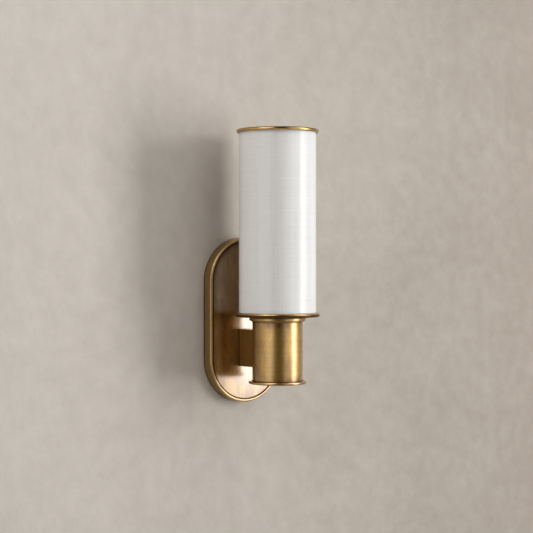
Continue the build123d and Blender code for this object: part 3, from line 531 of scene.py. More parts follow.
def put_together(bm, name, finish, body, slot, *nodes, holes=()):
    """Makes the finished mesh a piece on its body, in place of these nodes, with holes bored in it.

    Each hole is its radius, the point where the drill starts and the way it goes, as long as the bore.
    """
    bmesh.ops.remove_doubles(bm, verts=bm.verts[:], dist=weld_distance)
    bmesh.ops.dissolve_degenerate(bm, edges=bm.edges[:], dist=weld_distance)
    bmesh.ops.recalc_face_normals(bm, faces=bm.faces[:])
    mesh = bpy.data.meshes.new(name)
    bm.to_mesh(mesh)
    bm.free()
    piece = bpy.data.objects.new(name, mesh)
    bpy.context.scene.collection.objects.link(piece)
    if holes:
        drills = bmesh.new()
        for radius, start, way in holes:
            turn = Vector(way).to_track_quat("Z", "Y").to_matrix().to_4x4()
            middle = Matrix.Translation(Vector(start) + Vector(way) / 2)
            bmesh.ops.create_cone(drills, cap_ends=True, segments=drill_sides, radius1=radius,
                                  radius2=radius, depth=Vector(way).length, matrix=middle @ turn)
        drill_mesh = bpy.data.meshes.new("drills")
        drills.to_mesh(drill_mesh)
        drills.free()
        drill = bpy.data.objects.new("drills", drill_mesh)
        bpy.context.scene.collection.objects.link(drill)
        bore = piece.modifiers.new("bore", "BOOLEAN")
        bore.operation = "DIFFERENCE"
        bore.solver = "EXACT"
        bore.object = drill
        bored = piece.evaluated_get(bpy.context.evaluated_depsgraph_get())
        piece.data = bpy.data.meshes.new_from_object(bored)
        piece.modifiers.clear()
        bpy.data.objects.remove(drill)
        bpy.data.meshes.remove(drill_mesh)
    piece.data.materials.clear()
    piece.data.materials.append(finish)
    piece.data.shade_smooth()
    piece.data.set_sharp_from_angle(angle=crease_angle)
    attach(piece, body)
    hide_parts(*nodes)
    return piece


def arm_bores(start, length):
    """The wires' hole and the screws' holes above and below it, from start along the arm to the wall."""
    return [
        (radius, (0, start, arm_middle + rise), (0, length, 0))
        for radius, rise in ((wire_hole, 0), (screw_hole, arm_screw_rise), (screw_hole, -arm_screw_rise))
    ]


def bent_round_plate(bm, slices=72):
    """Carries the half section in bm round the plate: over the top, down a side, under and back up."""
    bmesh.ops.rotate(bm, verts=bm.verts[:], cent=(0, 0, 0), matrix=Matrix.Rotation(pi / 2, 3, "X"))
    bmesh.ops.translate(bm, verts=bm.verts[:], vec=(0, 0, plate_end))
    carried = bm.verts[:] + bm.edges[:]
    for centre in (plate_end, -plate_end):
        spun = bmesh.ops.spin(bm, geom=carried, cent=(0, 0, centre), axis=(0, -1, 0), dvec=(0, 0, 0),
                              angle=pi, steps=slices)
        last = only(bmesh.types.BMEdge, spun["geom_last"])
        drawn = bmesh.ops.extrude_edge_only(bm, edges=last)["geom"]
        bmesh.ops.translate(bm, verts=only(bmesh.types.BMVert, drawn), vec=(0, 0, -2 * centre))
        carried = only(bmesh.types.BMVert, drawn) + only(bmesh.types.BMEdge, drawn)


bm = bmesh.new()
section(bm, [
    (0, panel_face, 0),
    (groove_out - groove_width, panel_face, 0.25 * mm),
    (groove_out - groove_width, panel_face - groove_depth, 0.15 * mm),
    (groove_out, panel_face - groove_depth, 0.15 * mm),
    (groove_out, panel_face + panel_drop, plate_edge_break),
    (plate_radius, panel_face + panel_drop, plate_edge_round),
    (plate_radius, 0, 0.3 * mm),
    (plate_radius - plate_wall, 0, 0.3 * mm),
    (plate_radius - plate_wall, panel_back, 1.0 * mm),
    (0, panel_back, 0),
])
bent_round_plate(bm)
put_together(
    bm, "brass_backplate",
    aged_brass("brass_plate", plate_grain, plate_rubbed, plate_wax_and_painted_shade, plate_smoked, lacquer=2.75),
    "fixture", "aged_brass", "backplate",
    holes=arm_bores(-2 * panel_face, 3 * panel_face) + [
        (screw_hole, (0, -locking_depth, plate_high.z + drill_start), (0, 0, -locking_bore)),
        (screw_hole, (0, -locking_depth, plate_low.z - drill_start), (0, 0, locking_bore)),
    ],
)


# ------------------------------------------------------------------ locking screws
# Two headless brass screws with hexagon sockets go through the rim, at the top and the bottom,
# and hold the plate to the bracket's ears. They are turned from bar and left bright.
raw_light = (0.800, 0.610, 0.330, 1.0)
raw_dull = (0.620, 0.440, 0.210, 1.0)


def bright_brass():
    """Unfinished machined brass: fine marks every way and a little tarnish."""
    finish, start, place = new_finish("bright_brass")
    tarnish = cloud(place, 700.0, 4.0, 0.6)
    marks = cloud(place, 5200.0, 2.0)
    lay_on(
        start,
        Base_Color=tint(tarnish.rise(0.40, 0.70), raw_light, raw_dull),
        Metallic=1.0,
        Roughness=0.24 + 0.22 * tarnish,
        Normal=bumped(marks, 0.006 * mm),
    )
    return finish


raw_brass = bright_brass()
dress(raw_brass, "locking_screws")


# ------------------------------------------------------------------ arm
# A short length of square-cut brass tube stands between the plate and the cup, its front end
# hollowed to the cup's curve. Tapped blocks are brazed in both its ends and take two screws each.
arm_wall = 2.0 * mm
arm_edge_round = 0.8 * mm
arm_rise = arm_high.z - arm_middle
cup_radius = (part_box("lamp_cup")[1].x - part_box("lamp_cup")[0].x) / 2
saddle_radius = cup_radius + 0.1 * mm
saddle_cuts = 15


def arm_grain(x, y, z):
    """Brushed from the plate to the cup."""
    return combine(x * 2600.0, y * 40.0, z * 2600.0)


def arm_rubbed(x, y, z):
    """The four long edges."""
    side = abs(x).rise(arm_high.x - 1.3 * mm, arm_high.x - 0.2 * mm)
    level = abs(z - arm_middle).rise(arm_rise - 1.3 * mm, arm_rise - 0.2 * mm)
    return side * level


def arm_painted_shade(x, y, z):
    """Painted shade where the arm meets the plate and the cup."""
    painted_shade_at_plate = 1 - (0 - y).rise(panel_face + 0.2 * mm, panel_face + 2.5 * mm)
    painted_shade_at_cup = (0 - y).rise(column_reach - saddle_radius - 1.0 * mm, column_reach - saddle_radius + 1.2 * mm)
    return (painted_shade_at_plate + 0.6 * painted_shade_at_cup).maths("MINIMUM", 1.0)


bm = bmesh.new()
arm_corners = closed_outline(bm, [
    (arm_high.x * side, -panel_face, arm_middle + arm_rise * level) for side, level in corner_signs
])[0]
bmesh.ops.bevel(bm, geom=arm_corners, offset=arm_edge_round, offset_type="OFFSET", segments=5, profile=0.5,
                affect="VERTICES", material=-1)
wide = [edge for edge in bm.edges if abs(edge.verts[0].co.x - edge.verts[1].co.x) > arm_high.x]
bmesh.ops.subdivide_edges(bm, edges=wide, cuts=saddle_cuts)
drawn = bmesh.ops.extrude_edge_only(bm, edges=bm.edges[:])["geom"]
for vertex in only(bmesh.types.BMVert, drawn):
    vertex.co.y = sqrt(saddle_radius ** 2 - vertex.co.x ** 2) - column_reach
bmesh.ops.recalc_face_normals(bm, faces=bm.faces[:])
bmesh.ops.solidify(bm, geom=bm.faces[:], thickness=arm_wall)
put_together(
    bm, "brass_arm", aged_brass("brass_arm", arm_grain, arm_rubbed, arm_painted_shade),
    "fixture", "aged_brass", "arm",
)
dress(raw_brass, "arm_rear_block", "arm_front_block")
dress(zinc, "arm_rear_screws", "arm_front_screws")


# ------------------------------------------------------------------ lamp cup
# A thick brass tube closed on top by a web, turned all over. A base with a round edge screws in
# from below, and a collar with a small bead sits on top.
cup_low, cup_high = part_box("lamp_cup")
base_low, base_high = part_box("cup_base")
collar_low, collar_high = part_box("cup_collar")
cup_wall = 1.8 * mm
cup_web = 2.5 * mm
base_spigot_wall = 2.0 * mm
base_edge_round = 1.9 * mm
slip = 0.15 * mm
collar_round = 1.0 * mm
cup_bead = 1.5 * mm
tube_hole = 5.1 * mm
turned_slices = 180
wide_slices = 240


def turned(bm, slices=turned_slices):
    """Turns the section in bm once round the column."""
    bmesh.ops.spin(bm, geom=bm.verts[:] + bm.edges[:], cent=(0, 0, 0), axis=(0, 0, 1), dvec=(0, 0, 0),
                   angle=2 * pi, steps=slices, use_merge=True)
    bmesh.ops.translate(bm, verts=bm.verts[:], vec=(0, -column_reach, 0))


def out_from_column(x, y):
    """Distance from the column's axis."""
    forward = y + column_reach
    return (x * x + forward * forward) ** 0.5


def lathe_grain(x, y, z):
    """Rings left by the lathe tool, closed round the column but for a slow drift."""
    turn = (y + column_reach).maths("ARCTAN2", x)
    drift = turn.maths("SINE")
    return combine(out_from_column(x, y) * 1500.0, z * 1500.0, drift * 0.8)


def cup_painted_shade(x, y, z):
    """Painted shade under the collar's bead, and in the corner just above the base."""
    painted_shade_under_bead = z.rise(cup_high.z - cup_bead - 2.2 * mm, cup_high.z - cup_bead + 0.2 * mm)
    painted_shade_above_base = 1 - z.rise(cup_low.z + 0.2 * mm, cup_low.z + 1.5 * mm)
    return (painted_shade_under_bead + 0.8 * painted_shade_above_base).maths("MINIMUM", 1.0)


def cup_smoked(x, y, z):
    """Darker clouds towards both ends, where the rubbing stopped short."""
    top = z.rise(cup_high.z - 15.0 * mm, cup_high.z - 3.0 * mm)
    bottom = 1 - z.rise(cup_low.z + 2.0 * mm, cup_low.z + 9.0 * mm)
    clouds = cloud(combine(x * 60.0, y * 60.0, z * 30.0), 1.0, 4.0, 0.6).rise(0.35, 0.68)
    return (top + bottom) * clouds


cup_inside = cup_radius - cup_wall
bm = bmesh.new()
section(bm, [
    (tube_hole, cup_high.z - cup_web, 0),
    (cup_inside, cup_high.z - cup_web, 0.6 * mm),
    (cup_inside, cup_low.z, 0.2 * mm),
    (cup_radius, cup_low.z, 0.3 * mm),
    (cup_radius, cup_high.z, 0.3 * mm),
    (tube_hole, cup_high.z, 0),
    (tube_hole, cup_high.z - cup_web, 0),
])
turned(bm)
put_together(
    bm, "brass_cup", aged_brass("brass_cup", lathe_grain, None, cup_painted_shade, cup_smoked, lacquer=2.1),
    "fixture", "aged_brass", "lamp_cup",
    holes=arm_bores(-column_reach, 1.2 * cup_radius),
)


def base_painted_highlight(x, y, z):
    """A painted highlight on the upper half of the round edge."""
    painted_upper_part = z.rise(cup_low.z - 2.4 * mm, cup_low.z - 1.2 * mm)
    return painted_upper_part * out_from_column(x, y).rise(base_high.x - 1.6 * mm, base_high.x - 0.6 * mm)


def base_painted_shade(x, y, z):
    """Painted shade in the corner under the cup, and on the lower half of the round edge."""
    out = out_from_column(x, y)
    painted_corner_shade = z.rise(cup_low.z - 1.2 * mm, cup_low.z)
    painted_corner_shade = painted_corner_shade * (1 - out.rise(cup_radius + 0.8 * mm, cup_radius + 3.0 * mm))
    painted_lower_shade = 1 - z.rise(base_low.z + 0.4 * mm, base_low.z + 2.4 * mm)
    return (painted_corner_shade + 0.6 * painted_lower_shade * out.rise(cup_radius, base_high.x)).maths("MINIMUM", 1.0)


bm = bmesh.new()
spigot = cup_inside - slip
section(bm, [
    (0, base_low.z, 0),
    (base_high.x, base_low.z, base_edge_round),
    (base_high.x, cup_low.z, base_edge_round),
    (spigot, cup_low.z, 0.1 * mm),
    (spigot, base_high.z, 0.4 * mm),
    (spigot - base_spigot_wall, base_high.z, 0.4 * mm),
    (spigot - base_spigot_wall, cup_low.z, 0.4 * mm),
    (0, cup_low.z, 0),
])
turned(bm)
put_together(
    bm, "brass_base",
    aged_brass("brass_base", lathe_grain, base_painted_highlight, base_painted_shade, lacquer=2.5, dullness=0.18),
    "fixture", "aged_brass", "cup_base",
)


def collar_rubbed(x, y, z):
    """The edges of the collar and of its bead."""
    out = out_from_column(x, y)
    return out.rise(collar_high.x - 0.9 * mm, collar_high.x - 0.1 * mm)


def collar_painted_crease_shade(x, y, z):
    """Painted shade in the corner above the bead and under the gallery."""
    painted_shade_above_bead = z.rise(cup_high.z - 0.8 * mm, cup_high.z - 0.1 * mm) * (
        1 - z.rise(cup_high.z + 0.1 * mm, cup_high.z + 1.1 * mm))
    painted_shade_under_gallery = z.rise(collar_high.z - 3.0 * mm, collar_high.z - 0.6 * mm)
    return (0.7 * painted_shade_above_bead + painted_shade_under_gallery).maths("MINIMUM", 1.0)


def collar_painted_shade(x, y, z):
    """Painted shade on all of the collar above its bead, under the gallery."""
    return z.rise(cup_high.z - 1.0 * mm, cup_high.z)


bm = bmesh.new()
bead_out = cup_radius + slip + cup_bead
section(bm, [
    (tube_hole, cup_high.z, 0),
    (cup_radius + slip, cup_high.z, 0),
    (cup_radius + slip, collar_low.z, 0.15 * mm),
    (bead_out, collar_low.z, cup_bead / 2),
    (bead_out, cup_high.z, 0.3 * mm),
    (collar_high.x, cup_high.z, collar_round),
    (collar_high.x, collar_high.z, collar_round),
    (tube_hole, collar_high.z, 0),
    (tube_hole, cup_high.z, 0),
])
turned(bm)
put_together(
    bm, "brass_collar",
    aged_brass("brass_collar", lathe_grain, collar_rubbed, collar_painted_crease_shade, collar_painted_shade),
    "fixture", "aged_brass", "cup_collar",
)


# ------------------------------------------------------------------ gallery
# The disc that the shade stands on: turned brass with a full round edge and a sunk floor inside
# the shade's seat, so that the shade can't slide off.
gallery_low, gallery_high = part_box("gallery_disc")
gallery_floor = 3.0 * mm
gallery_seat = 8.6 * mm


def gallery_rubbed(x, y, z):
    """The middle of the round edge."""
    return out_from_column(x, y).rise(gallery_high.x - 1.1 * mm, gallery_high.x - 0.1 * mm)


def gallery_wax_and_painted_shade(x, y, z):
    """Painted shade on the lower half of the round edge and along the line under the shade,
    and wax in the corner of the sunk floor.
    """
    out = out_from_column(x, y)
    # Painted contact shadow along the foot of the shade.
    painted_line_under_shade = out.rise(gallery_high.x - 6.5 * mm, gallery_high.x - 5.0 * mm) * (
        1 - out.rise(gallery_high.x - 4.2 * mm, gallery_high.x - 3.0 * mm))
    floor_corner = out.rise(gallery_high.x - gallery_seat - 2.0 * mm, gallery_high.x - gallery_seat) * (
        1 - z.rise(gallery_low.z + gallery_floor + 0.2 * mm, gallery_low.z + gallery_floor + 1.5 * mm))
    painted_line_under_shade = painted_line_under_shade * z.rise(gallery_high.z - 1.0 * mm, gallery_high.z)
    # Painted shade on the lower half of the round edge.
    painted_lower_shade = 1 - z.rise(gallery_low.z + 0.3 * mm, gallery_low.z + 2.6 * mm)
    painted_lower_shade = painted_lower_shade * out.rise(gallery_high.x - 3.4 * mm, gallery_high.x - 1.4 * mm)
    return (painted_line_under_shade + floor_corner + 0.7 * painted_lower_shade).maths("MINIMUM", 1.0)


bm = bmesh.new()
gallery_round = 0.48 * (gallery_high.z - gallery_low.z)
section(bm, [
    (tube_hole, gallery_low.z, 0),
    (gallery_high.x, gallery_low.z, gallery_round),
    (gallery_high.x, gallery_high.z, gallery_round),
    (gallery_high.x - gallery_seat, gallery_high.z, 0.3 * mm),
    (gallery_high.x - gallery_seat, gallery_low.z + gallery_floor, 0.5 * mm),
    (tube_hole, gallery_low.z + gallery_floor, 0),
    (tube_hole, gallery_low.z, 0),
])
turned(bm, wide_slices)
put_together(
    bm, "brass_gallery",
    aged_brass("brass_gallery", lathe_grain, gallery_rubbed, gallery_wax_and_painted_shade, lacquer=2.5, dullness=0.18),
    "fixture", "aged_brass", "gallery_disc",
)


# ------------------------------------------------------------------ threaded tube
# Drawn brass tube, threaded outside, that clamps the gallery, the collar and the cup's web between
# a steel nut with a lock washer and the lampholder. The wires come down through it.
dress(raw_brass, "threaded_tube")
dress(zinc, "lock_washers", "tube_nut")


# ------------------------------------------------------------------ lampholder
# A moulded black holder: a domed cap, a skirt with a shoulder and a coarse outside thread for the
# shade's ring, and inside it a ceramic disc with a brass screw shell, contact and terminal posts.
phenolic_black = (0.018, 0.016, 0.015, 1.0)
phenolic_grey = (0.036, 0.032, 0.030, 1.0)
ceramic_white = (0.86, 0.84, 0.79, 1.0)
ceramic_cream = (0.78, 0.75, 0.67, 1.0)
copper_tinned = (0.74, 0.71, 0.66, 1.0)
copper_dull = (0.58, 0.53, 0.46, 1.0)
holder_radius = 20.0 * mm
skirt_low, skirt_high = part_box("lampholder_skirt")
shoulder_radius = skirt_high.x
shoulder_thickness = 2.5 * mm
shoulder_top = skirt_low.z + 9.0 * mm
thread_crest = 19.75 * mm
thread_root = 19.05 * mm
thread_pitch = 2.6 * mm
thread_clear = 0.8 * mm
thread_seat = 0.1 * mm
thread_flank = 0.28
thread_flat = 0.22
holder_slices = 144
lead_in = 0.9 * mm
lead_in_rise = 0.6 * mm
insert_top = skirt_low.z + 6.3 * mm
insert_bore = 18.05 * mm
holder_mouth = 15.0 * mm


def moulding(name, dark, pale, spots, gloss):
    """Pressed plastic or ceramic: a faint mottle, an even gloss and a few dull patches."""
    finish, start, place = new_finish(name)
    mottle = cloud(place, spots, 4.0, 0.55)
    handling = cloud(place, 45.0, 3.0)
    lay_on(
        start,
        Base_Color=tint(mottle.rise(0.35, 0.70), dark, pale),
        Roughness=gloss + 0.2 * handling,
        Coat_Weight=0.3 * handling,
        Coat_Roughness=0.2,
        Normal=bumped(mottle, 0.012 * mm),
    )
    return finish


def wind_thread(core, root, crest, foot, pitch, turns, slices=72):
    """Winds a trapezoid ridge round the column's axis, seated a little in core, and closes its two ends."""
    bm = bmesh.new()
    corners, edges = closed_outline(bm, [
        (root - thread_seat, 0, foot),
        (crest, 0, foot + thread_flank * pitch),
        (crest, 0, foot + (thread_flank + thread_flat) * pitch),
        (root - thread_seat, 0, foot + (2 * thread_flank + thread_flat) * pitch),
    ])
    wound = bmesh.ops.spin(bm, geom=corners + edges, cent=(0, 0, 0), axis=(0, 0, 1),
                           dvec=(0, 0, pitch / slices), angle=2 * pi * turns, steps=round(slices * turns))
    last = only(bmesh.types.BMEdge, wound["geom_last"])
    bmesh.ops.holes_fill(bm, edges=edges + last, sides=4)
    bmesh.ops.translate(bm, verts=bm.verts[:], vec=(0, -column_reach, 0))
    bmesh.ops.recalc_face_normals(bm, faces=bm.faces[:])
    ridge = bpy.data.meshes.new("ridge")
    bm.to_mesh(ridge)
    bm.free()
    core.from_mesh(ridge)
    bpy.data.meshes.remove(ridge)


phenolic = moulding("black_phenolic", phenolic_black, phenolic_grey, 1500.0, 0.26)
bm = bmesh.new()
section(bm, [
    (holder_radius, skirt_low.z, 0.2 * mm),
    (holder_radius, shoulder_top - 1.5 * shoulder_thickness, 0.4 * mm),
    (shoulder_radius, shoulder_top - shoulder_thickness, 0.3 * mm),
    (shoulder_radius, shoulder_top, 0.3 * mm),
    (thread_root, shoulder_top, 0.2 * mm),
    (thread_root, skirt_high.z - lead_in_rise, 0.3 * mm),
    (thread_root - lead_in, skirt_high.z, 0.3 * mm),
    (holder_mouth + lead_in, skirt_high.z, 0.3 * mm),
    (holder_mouth, skirt_high.z - lead_in, 0.3 * mm),
    (holder_mouth, insert_top, 0.2 * mm),
    (insert_bore, insert_top, 0),
    (insert_bore, skirt_low.z, 0.1 * mm),
    (holder_radius, skirt_low.z, 0),
])
bmesh.ops.remove_doubles(bm, verts=bm.verts[:], dist=weld_distance)
turned(bm, holder_slices)
turns = (skirt_high.z - shoulder_top - 2 * thread_clear) / thread_pitch - 1
wind_thread(bm, thread_root, thread_crest, shoulder_top + thread_clear, thread_pitch, turns)
put_together(bm, "holder_skirt", phenolic, "fixture", "black_phenolic", "lampholder_skirt")
dress(phenolic, "lampholder_cap")
dress(moulding("glazed_ceramic", ceramic_white, ceramic_cream, 260.0, 0.22), "lampholder_insert")
dress(raw_brass, "lampholder_shell", "holder_terminals")
dress(zinc, "holder_terminal_screws")


def tinned():
    """Tin on copper or bronze, with the warm metal showing in places."""
    finish, start, place = new_finish("tinned_copper")
    worn = cloud(place, 800.0, 4.0, 0.6)
    lay_on(
        start,
        Base_Color=tint(worn.rise(0.42, 0.68), copper_tinned, copper_dull),
        Metallic=1.0,
        Roughness=0.28 + 0.2 * worn,
        Normal=bumped(worn, 0.01 * mm),
    )
    return finish


tin = tinned()
dress(tin, "centre_contact")


# ------------------------------------------------------------------ shade
# Natural linen under a clear film, bonded to a white liner and rolled into a drum; the linen laps
# over itself where it faces the wall. A brass ring caps the top edge, and a spoked fitter holds the foot.
cloth_low, cloth_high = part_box("shade_cloth")
cloth_out = cloth_high.x
cloth_thickness = 0.45 * mm
cloth_lap = 9.0 * mm
liner_thickness = 0.5 * mm
liner_gap = 0.4 * mm
layer_gap = 0.08 * mm
lap_rise = 3.0 * mm
cloth_ripple = 0.05 * mm
ripples_round = 2.2
ripples_up = 22.0
cloth_rows = 48
liner_rows = 24
sheet_columns = 360
thread_spacing = 0.42 * mm
linen_pale = (0.880, 0.878, 0.872, 1.0)
linen_dark = (0.740, 0.732, 0.712, 1.0)
linen_slub = (0.905, 0.905, 0.900, 1.0)
liner_white = (0.86, 0.85, 0.82, 1.0)
liner_warm = (0.82, 0.80, 0.75, 1.0)


def rolled_sheet(bm, middle, thickness, width, rows, ripple, lift):
    """Flat sheet, width by the shade's height, rolled round the column from the side that faces the wall.

    Where it has gone all the way round it lifts on to its own start. Its UV map is the flat sheet in metres.
    """
    height = cloth_high.z - cloth_low.z
    bmesh.ops.create_grid(bm, x_segments=sheet_columns, y_segments=rows, size=0.5)
    flat = bm.loops.layers.uv.new("flat")
    for face in bm.faces:
        for loop in face.loops:
            loop[flat].uv = ((loop.vert.co.x + 0.5) * width, (loop.vert.co.y + 0.5) * height)
    around = 2 * pi * middle
    for vertex in bm.verts:
        along, up = (vertex.co.x + 0.5) * width, (vertex.co.y + 0.5) * height
        turn = pi / 2 + along / middle
        over = min(max((along - around + lap_rise) / lap_rise, 0.0), 1.0)
        wave = noise.noise(Vector((ripples_round * cos(turn), ripples_round * sin(turn), ripples_up * up)))
        out = middle + lift * over * over * (3 - 2 * over) + ripple * wave
        vertex.co = (out * cos(turn), out * sin(turn) - column_reach, cloth_low.z + up)
    bmesh.ops.recalc_face_normals(bm, faces=bm.faces[:])
    bmesh.ops.solidify(bm, geom=bm.faces[:], thickness=thickness)


def woven_linen():
    """Plain weave of uneven threads with slubs both ways, under a smooth clear film."""
    finish, start, place = new_finish("linen_under_film")
    flat = start.node("UVMap", {"uv_map": "flat"})
    along, up = flat.split()[:2]
    uneven_across = cloud(combine(along * 9.0, up * 420.0, 0.0), 1.0, 4.0, 0.65)
    uneven_down = cloud(combine(along * 380.0, up * 5.0, 3.0), 1.0, 4.0, 0.65)
    warp = (along / thread_spacing + 0.7 * uneven_down) * pi
    weft = (up / thread_spacing + 0.7 * uneven_across) * pi
    warp_wave = warp.maths("SINE")
    weft_wave = weft.maths("SINE")
    warp_on_top = (warp_wave * weft_wave).rise(-0.12, 0.12)
    warp_height = abs(warp_wave) * abs(weft_wave) ** 0.4
    weft_height = abs(weft_wave) * abs(warp_wave) ** 0.4
    height = warp_on_top * warp_height + (1 - warp_on_top) * weft_height
    slub = (uneven_across.rise(0.50, 0.72) + uneven_down.rise(0.50, 0.72)).maths("MINIMUM", 1.0)
    sparse = 0.9 * (1 - uneven_across).rise(0.50, 0.74) + (1 - uneven_down).rise(0.50, 0.74)
    thin = sparse.maths("MINIMUM", 1.0)
    gaps = 1 - height.rise(0.05, 0.55)
    yarn = cloud(place, 60.0, 4.0, 0.6)
    colour = tint((0.45 * gaps + 0.35 * thin + 0.2 * yarn).maths("MINIMUM", 1.0), linen_pale, linen_dark)
    colour = tint(slub * 0.55, colour, linen_slub)
    lay_on(
        start,
        Base_Color=colour,
        Roughness=0.78 + 0.12 * gaps,
        Sheen_Weight=0.12,
        Sheen_Roughness=0.5,
        Coat_Weight=1.0,
        Coat_Roughness=0.11,
        Coat_IOR=1.5,
        Normal=bumped(height + 0.35 * slub, 0.07 * mm),
    )
    return finish


def liner_film():
    """White plastic sheet, faintly cloudy."""
    finish, start, place = new_finish("liner_film")
    haze = cloud(place, 110.0, 3.0)
    lay_on(
        start,
        Base_Color=tint(haze.rise(0.35, 0.7), liner_white, liner_warm),
        Roughness=0.42 + 0.12 * haze,
        Normal=bumped(haze, 0.02 * mm),
    )
    return finish


cloth_middle = cloth_out - 1.5 * cloth_thickness - layer_gap
cloth_width = 2 * pi * cloth_middle + cloth_lap
bm = bmesh.new()
cloth_lift = cloth_thickness + layer_gap
rolled_sheet(bm, cloth_middle, cloth_thickness, cloth_width, cloth_rows, cloth_ripple, cloth_lift)
linen_shade = put_together(bm, "linen_shade", woven_linen(), "shade", "linen", "shade_cloth")

liner_middle = cloth_middle - (cloth_thickness + liner_thickness) / 2 - layer_gap
bm = bmesh.new()
rolled_sheet(bm, liner_middle, liner_thickness, 2 * pi * liner_middle - liner_gap, liner_rows, 0.0, 0.0)
put_together(bm, "white_liner", liner_film(), "shade", "liner_film", "shade_liner")

ring_low, ring_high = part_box("shade_top_ring")
ring_bead = 4.8 * mm
ring_round = 0.49 * ring_bead
ring_web = 1.6 * mm
ring_lip = 0.9 * mm
ring_inside = 51.3 * mm


def top_ring_rubbed(x, y, z):
    """The middle of the half-round bead."""
    return out_from_column(x, y).rise(ring_high.x - 1.0 * mm, ring_high.x - 0.1 * mm)


def top_ring_painted_shade(x, y, z):
    """Painted shade in the corner where the ring meets the cloth, and on the upper edge of the bead."""
    low = 1 - z.rise(ring_high.z - ring_bead + 0.1 * mm, ring_high.z - ring_bead + 0.9 * mm)
    painted_corner_shade = low * (1 - out_from_column(x, y).rise(cloth_out + 0.3 * mm, cloth_out + 1.6 * mm))
    painted_upper_part = z.rise(ring_high.z - 2.2 * mm, ring_high.z - 0.7 * mm)
    return (painted_corner_shade + 0.8 * painted_upper_part).maths("MINIMUM", 1.0)


bm = bmesh.new()
section(bm, [
    (cloth_out + slip, ring_high.z - ring_bead, 0),
    (ring_high.x, ring_high.z - ring_bead, ring_round),
    (ring_high.x, ring_high.z, ring_round),
    (ring_inside, ring_high.z, 0.6 * mm),
    (ring_inside, ring_low.z, 0.2 * mm),
    (ring_inside + ring_lip, ring_low.z, 0.2 * mm),
    (ring_inside + ring_lip, ring_high.z - ring_web, 0),
    (cloth_out + slip, ring_high.z - ring_web, 0),
    (cloth_out + slip, ring_high.z - ring_bead, 0),
])
turned(bm, wide_slices)
put_together(
    bm, "brass_top_ring",
    aged_brass("brass_top_ring", lathe_grain, top_ring_rubbed, top_ring_painted_shade, dullness=0.16),
    "shade", "aged_brass", "shade_top_ring",
)
dress(zinc, "shade_fitter")
dress(phenolic, "shade_retaining_ring")


# ------------------------------------------------------------------ lamp
# A tube lamp of opal glass with a domed end, cemented into a plated screw cap with a rolled
# thread. A disc of black glass keeps the cap and the soldered centre contact apart.
glass_low, glass_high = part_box("lamp_glass_tube")
glass_radius = (glass_high.x - glass_low.x) / 2
cap_low, cap_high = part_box("lamp_cap")
cap_crest = (cap_high.x - cap_low.x) / 2
cap_root = cap_crest - 0.75 * mm
cap_pitch = 3.63 * mm
cap_turns = 3
cap_metal = 0.4 * mm
cap_inset = 0.2 * mm
cap_foot_radius = 9.0 * mm
cap_taper = 2.2 * mm
cap_collar = 3.2 * mm
cap_step = 0.8 * mm
glass_wall = 1.0 * mm
glass_neck = 12.0 * mm
glass_foot = 4.0 * mm
glass_shoulder = 12.0 * mm
glass_dome = 0.998 * glass_radius
glass_weld = 0.02 * mm
lamp_slices = 96
opal_white = (0.88, 0.88, 0.86, 1.0)
opal_warm = (0.84, 0.835, 0.81, 1.0)
plated_bright = (0.78, 0.77, 0.74, 1.0)
plated_dull = (0.60, 0.59, 0.56, 1.0)
black_glass = (0.012, 0.012, 0.014, 1.0)
black_glass_pale = (0.03, 0.03, 0.034, 1.0)


def opal():
    """White glass with a glossy skin, slightly streaked in the blowing."""
    finish, start, place = new_finish("opal_glass")
    x, y, z = place.split()
    streaks = cloud(combine(x * 60.0, y * 60.0, z * 8.0), 1.0, 3.0)
    lay_on(
        start,
        Base_Color=tint(streaks.rise(0.35, 0.7), opal_white, opal_warm),
        Roughness=0.16 + 0.08 * streaks,
        Coat_Weight=0.6,
        Coat_Roughness=0.05,
        Normal=bumped(streaks, 0.03 * mm),
    )
    return finish


def plated():
    """Nickel-plated brass, scuffed by the holder."""
    finish, start, place = new_finish("plated_cap")
    scuffs = cloud(place, 380.0, 5.0, 0.65)
    lay_on(
        start,
        Base_Color=tint(scuffs.rise(0.40, 0.70), plated_bright, plated_dull),
        Metallic=1.0,
        Roughness=0.20 + 0.25 * scuffs,
        Normal=bumped(scuffs, 0.01 * mm),
    )
    return finish


bm = bmesh.new()
section(bm, [
    (glass_neck, cap_high.z - glass_foot, 0),
    (glass_neck, cap_high.z + 0.25 * glass_shoulder, 3.0 * mm),
    (glass_radius, cap_high.z + glass_shoulder, 4.0 * mm),
    (glass_radius, glass_high.z, glass_dome),
    (0, glass_high.z, 0),
])
turned(bm, lamp_slices)
bmesh.ops.remove_doubles(bm, verts=bm.verts[:], dist=glass_weld)
bmesh.ops.recalc_face_normals(bm, faces=bm.faces[:])
bmesh.ops.solidify(bm, geom=bm.faces[:], thickness=glass_wall)
put_together(bm, "opal_tube", opal(), "lamp", "opal_glass", "lamp_glass_tube")

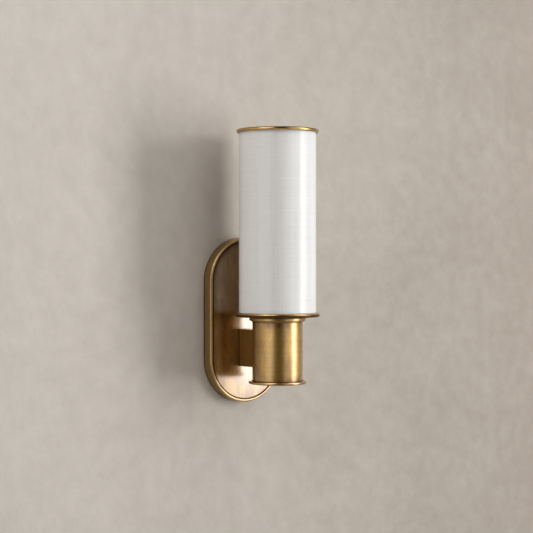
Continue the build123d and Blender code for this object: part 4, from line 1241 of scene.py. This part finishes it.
bm = bmesh.new()
section(bm, [
    (cap_foot_radius, cap_low.z, 0.2 * mm),
    (cap_root, cap_low.z + cap_taper, 1.0 * mm),
    (cap_root, cap_high.z - cap_collar - cap_step, 0.3 * mm),
    (cap_crest, cap_high.z - cap_collar, 0.3 * mm),
    (cap_crest, cap_high.z, 0.1 * mm),
    (cap_crest - cap_metal, cap_high.z, 0),
    (cap_crest - cap_metal, cap_high.z - cap_collar - cap_inset, 0),
    (cap_root - cap_metal, cap_high.z - cap_collar - cap_step - cap_inset, 0),
    (cap_root - cap_metal, cap_low.z + cap_taper + cap_inset, 0),
    (cap_foot_radius, cap_low.z + cap_metal, 0),
    (cap_foot_radius, cap_low.z, 0),
])
turned(bm, lamp_slices)
wind_thread(bm, cap_root, cap_crest, cap_low.z + cap_taper + cap_metal, cap_pitch, cap_turns)
put_together(bm, "screw_cap", plated(), "lamp", "lamp_cap_metal", "lamp_cap")
dress(moulding("black_cap_glass", black_glass, black_glass_pale, 900.0, 0.1), "lamp_insulator")
dress(tin, "lamp_contact")


# ------------------------------------------------------------------ terminal block and wiring
# A nylon block with three brass ways is screwed to the back of the plate. Live and neutral leads run
# from it through the arm and the cup to the lampholder, and the earth lead ends in a ring on a stud.
nylon_pale = (0.80, 0.78, 0.71, 1.0)
nylon_warm = (0.72, 0.69, 0.60, 1.0)
sleeve_black = (0.014, 0.013, 0.013, 1.0)
sleeve_grey = (0.030, 0.029, 0.028, 1.0)
sleeve_white = (0.82, 0.81, 0.77, 1.0)
sleeve_cream = (0.74, 0.72, 0.66, 1.0)
sleeve_green = (0.030, 0.230, 0.070, 1.0)
sleeve_green_dark = (0.022, 0.170, 0.050, 1.0)

dress(moulding("natural_nylon", nylon_pale, nylon_warm, 190.0, 0.38), "terminal_block")
dress(raw_brass, "terminal_sleeves", "earth_stud")
dress(zinc, "clamp_screws", "terminal_block_screws", "earth_nut")
dress(tin, "ring_terminal")
dress(moulding("black_sleeving", sleeve_black, sleeve_grey, 620.0, 0.34), "live_lead")
dress(moulding("white_sleeving", sleeve_white, sleeve_cream, 620.0, 0.34), "neutral_lead")
dress(moulding("green_sleeving", sleeve_green, sleeve_green_dark, 620.0, 0.34), "earth_lead")
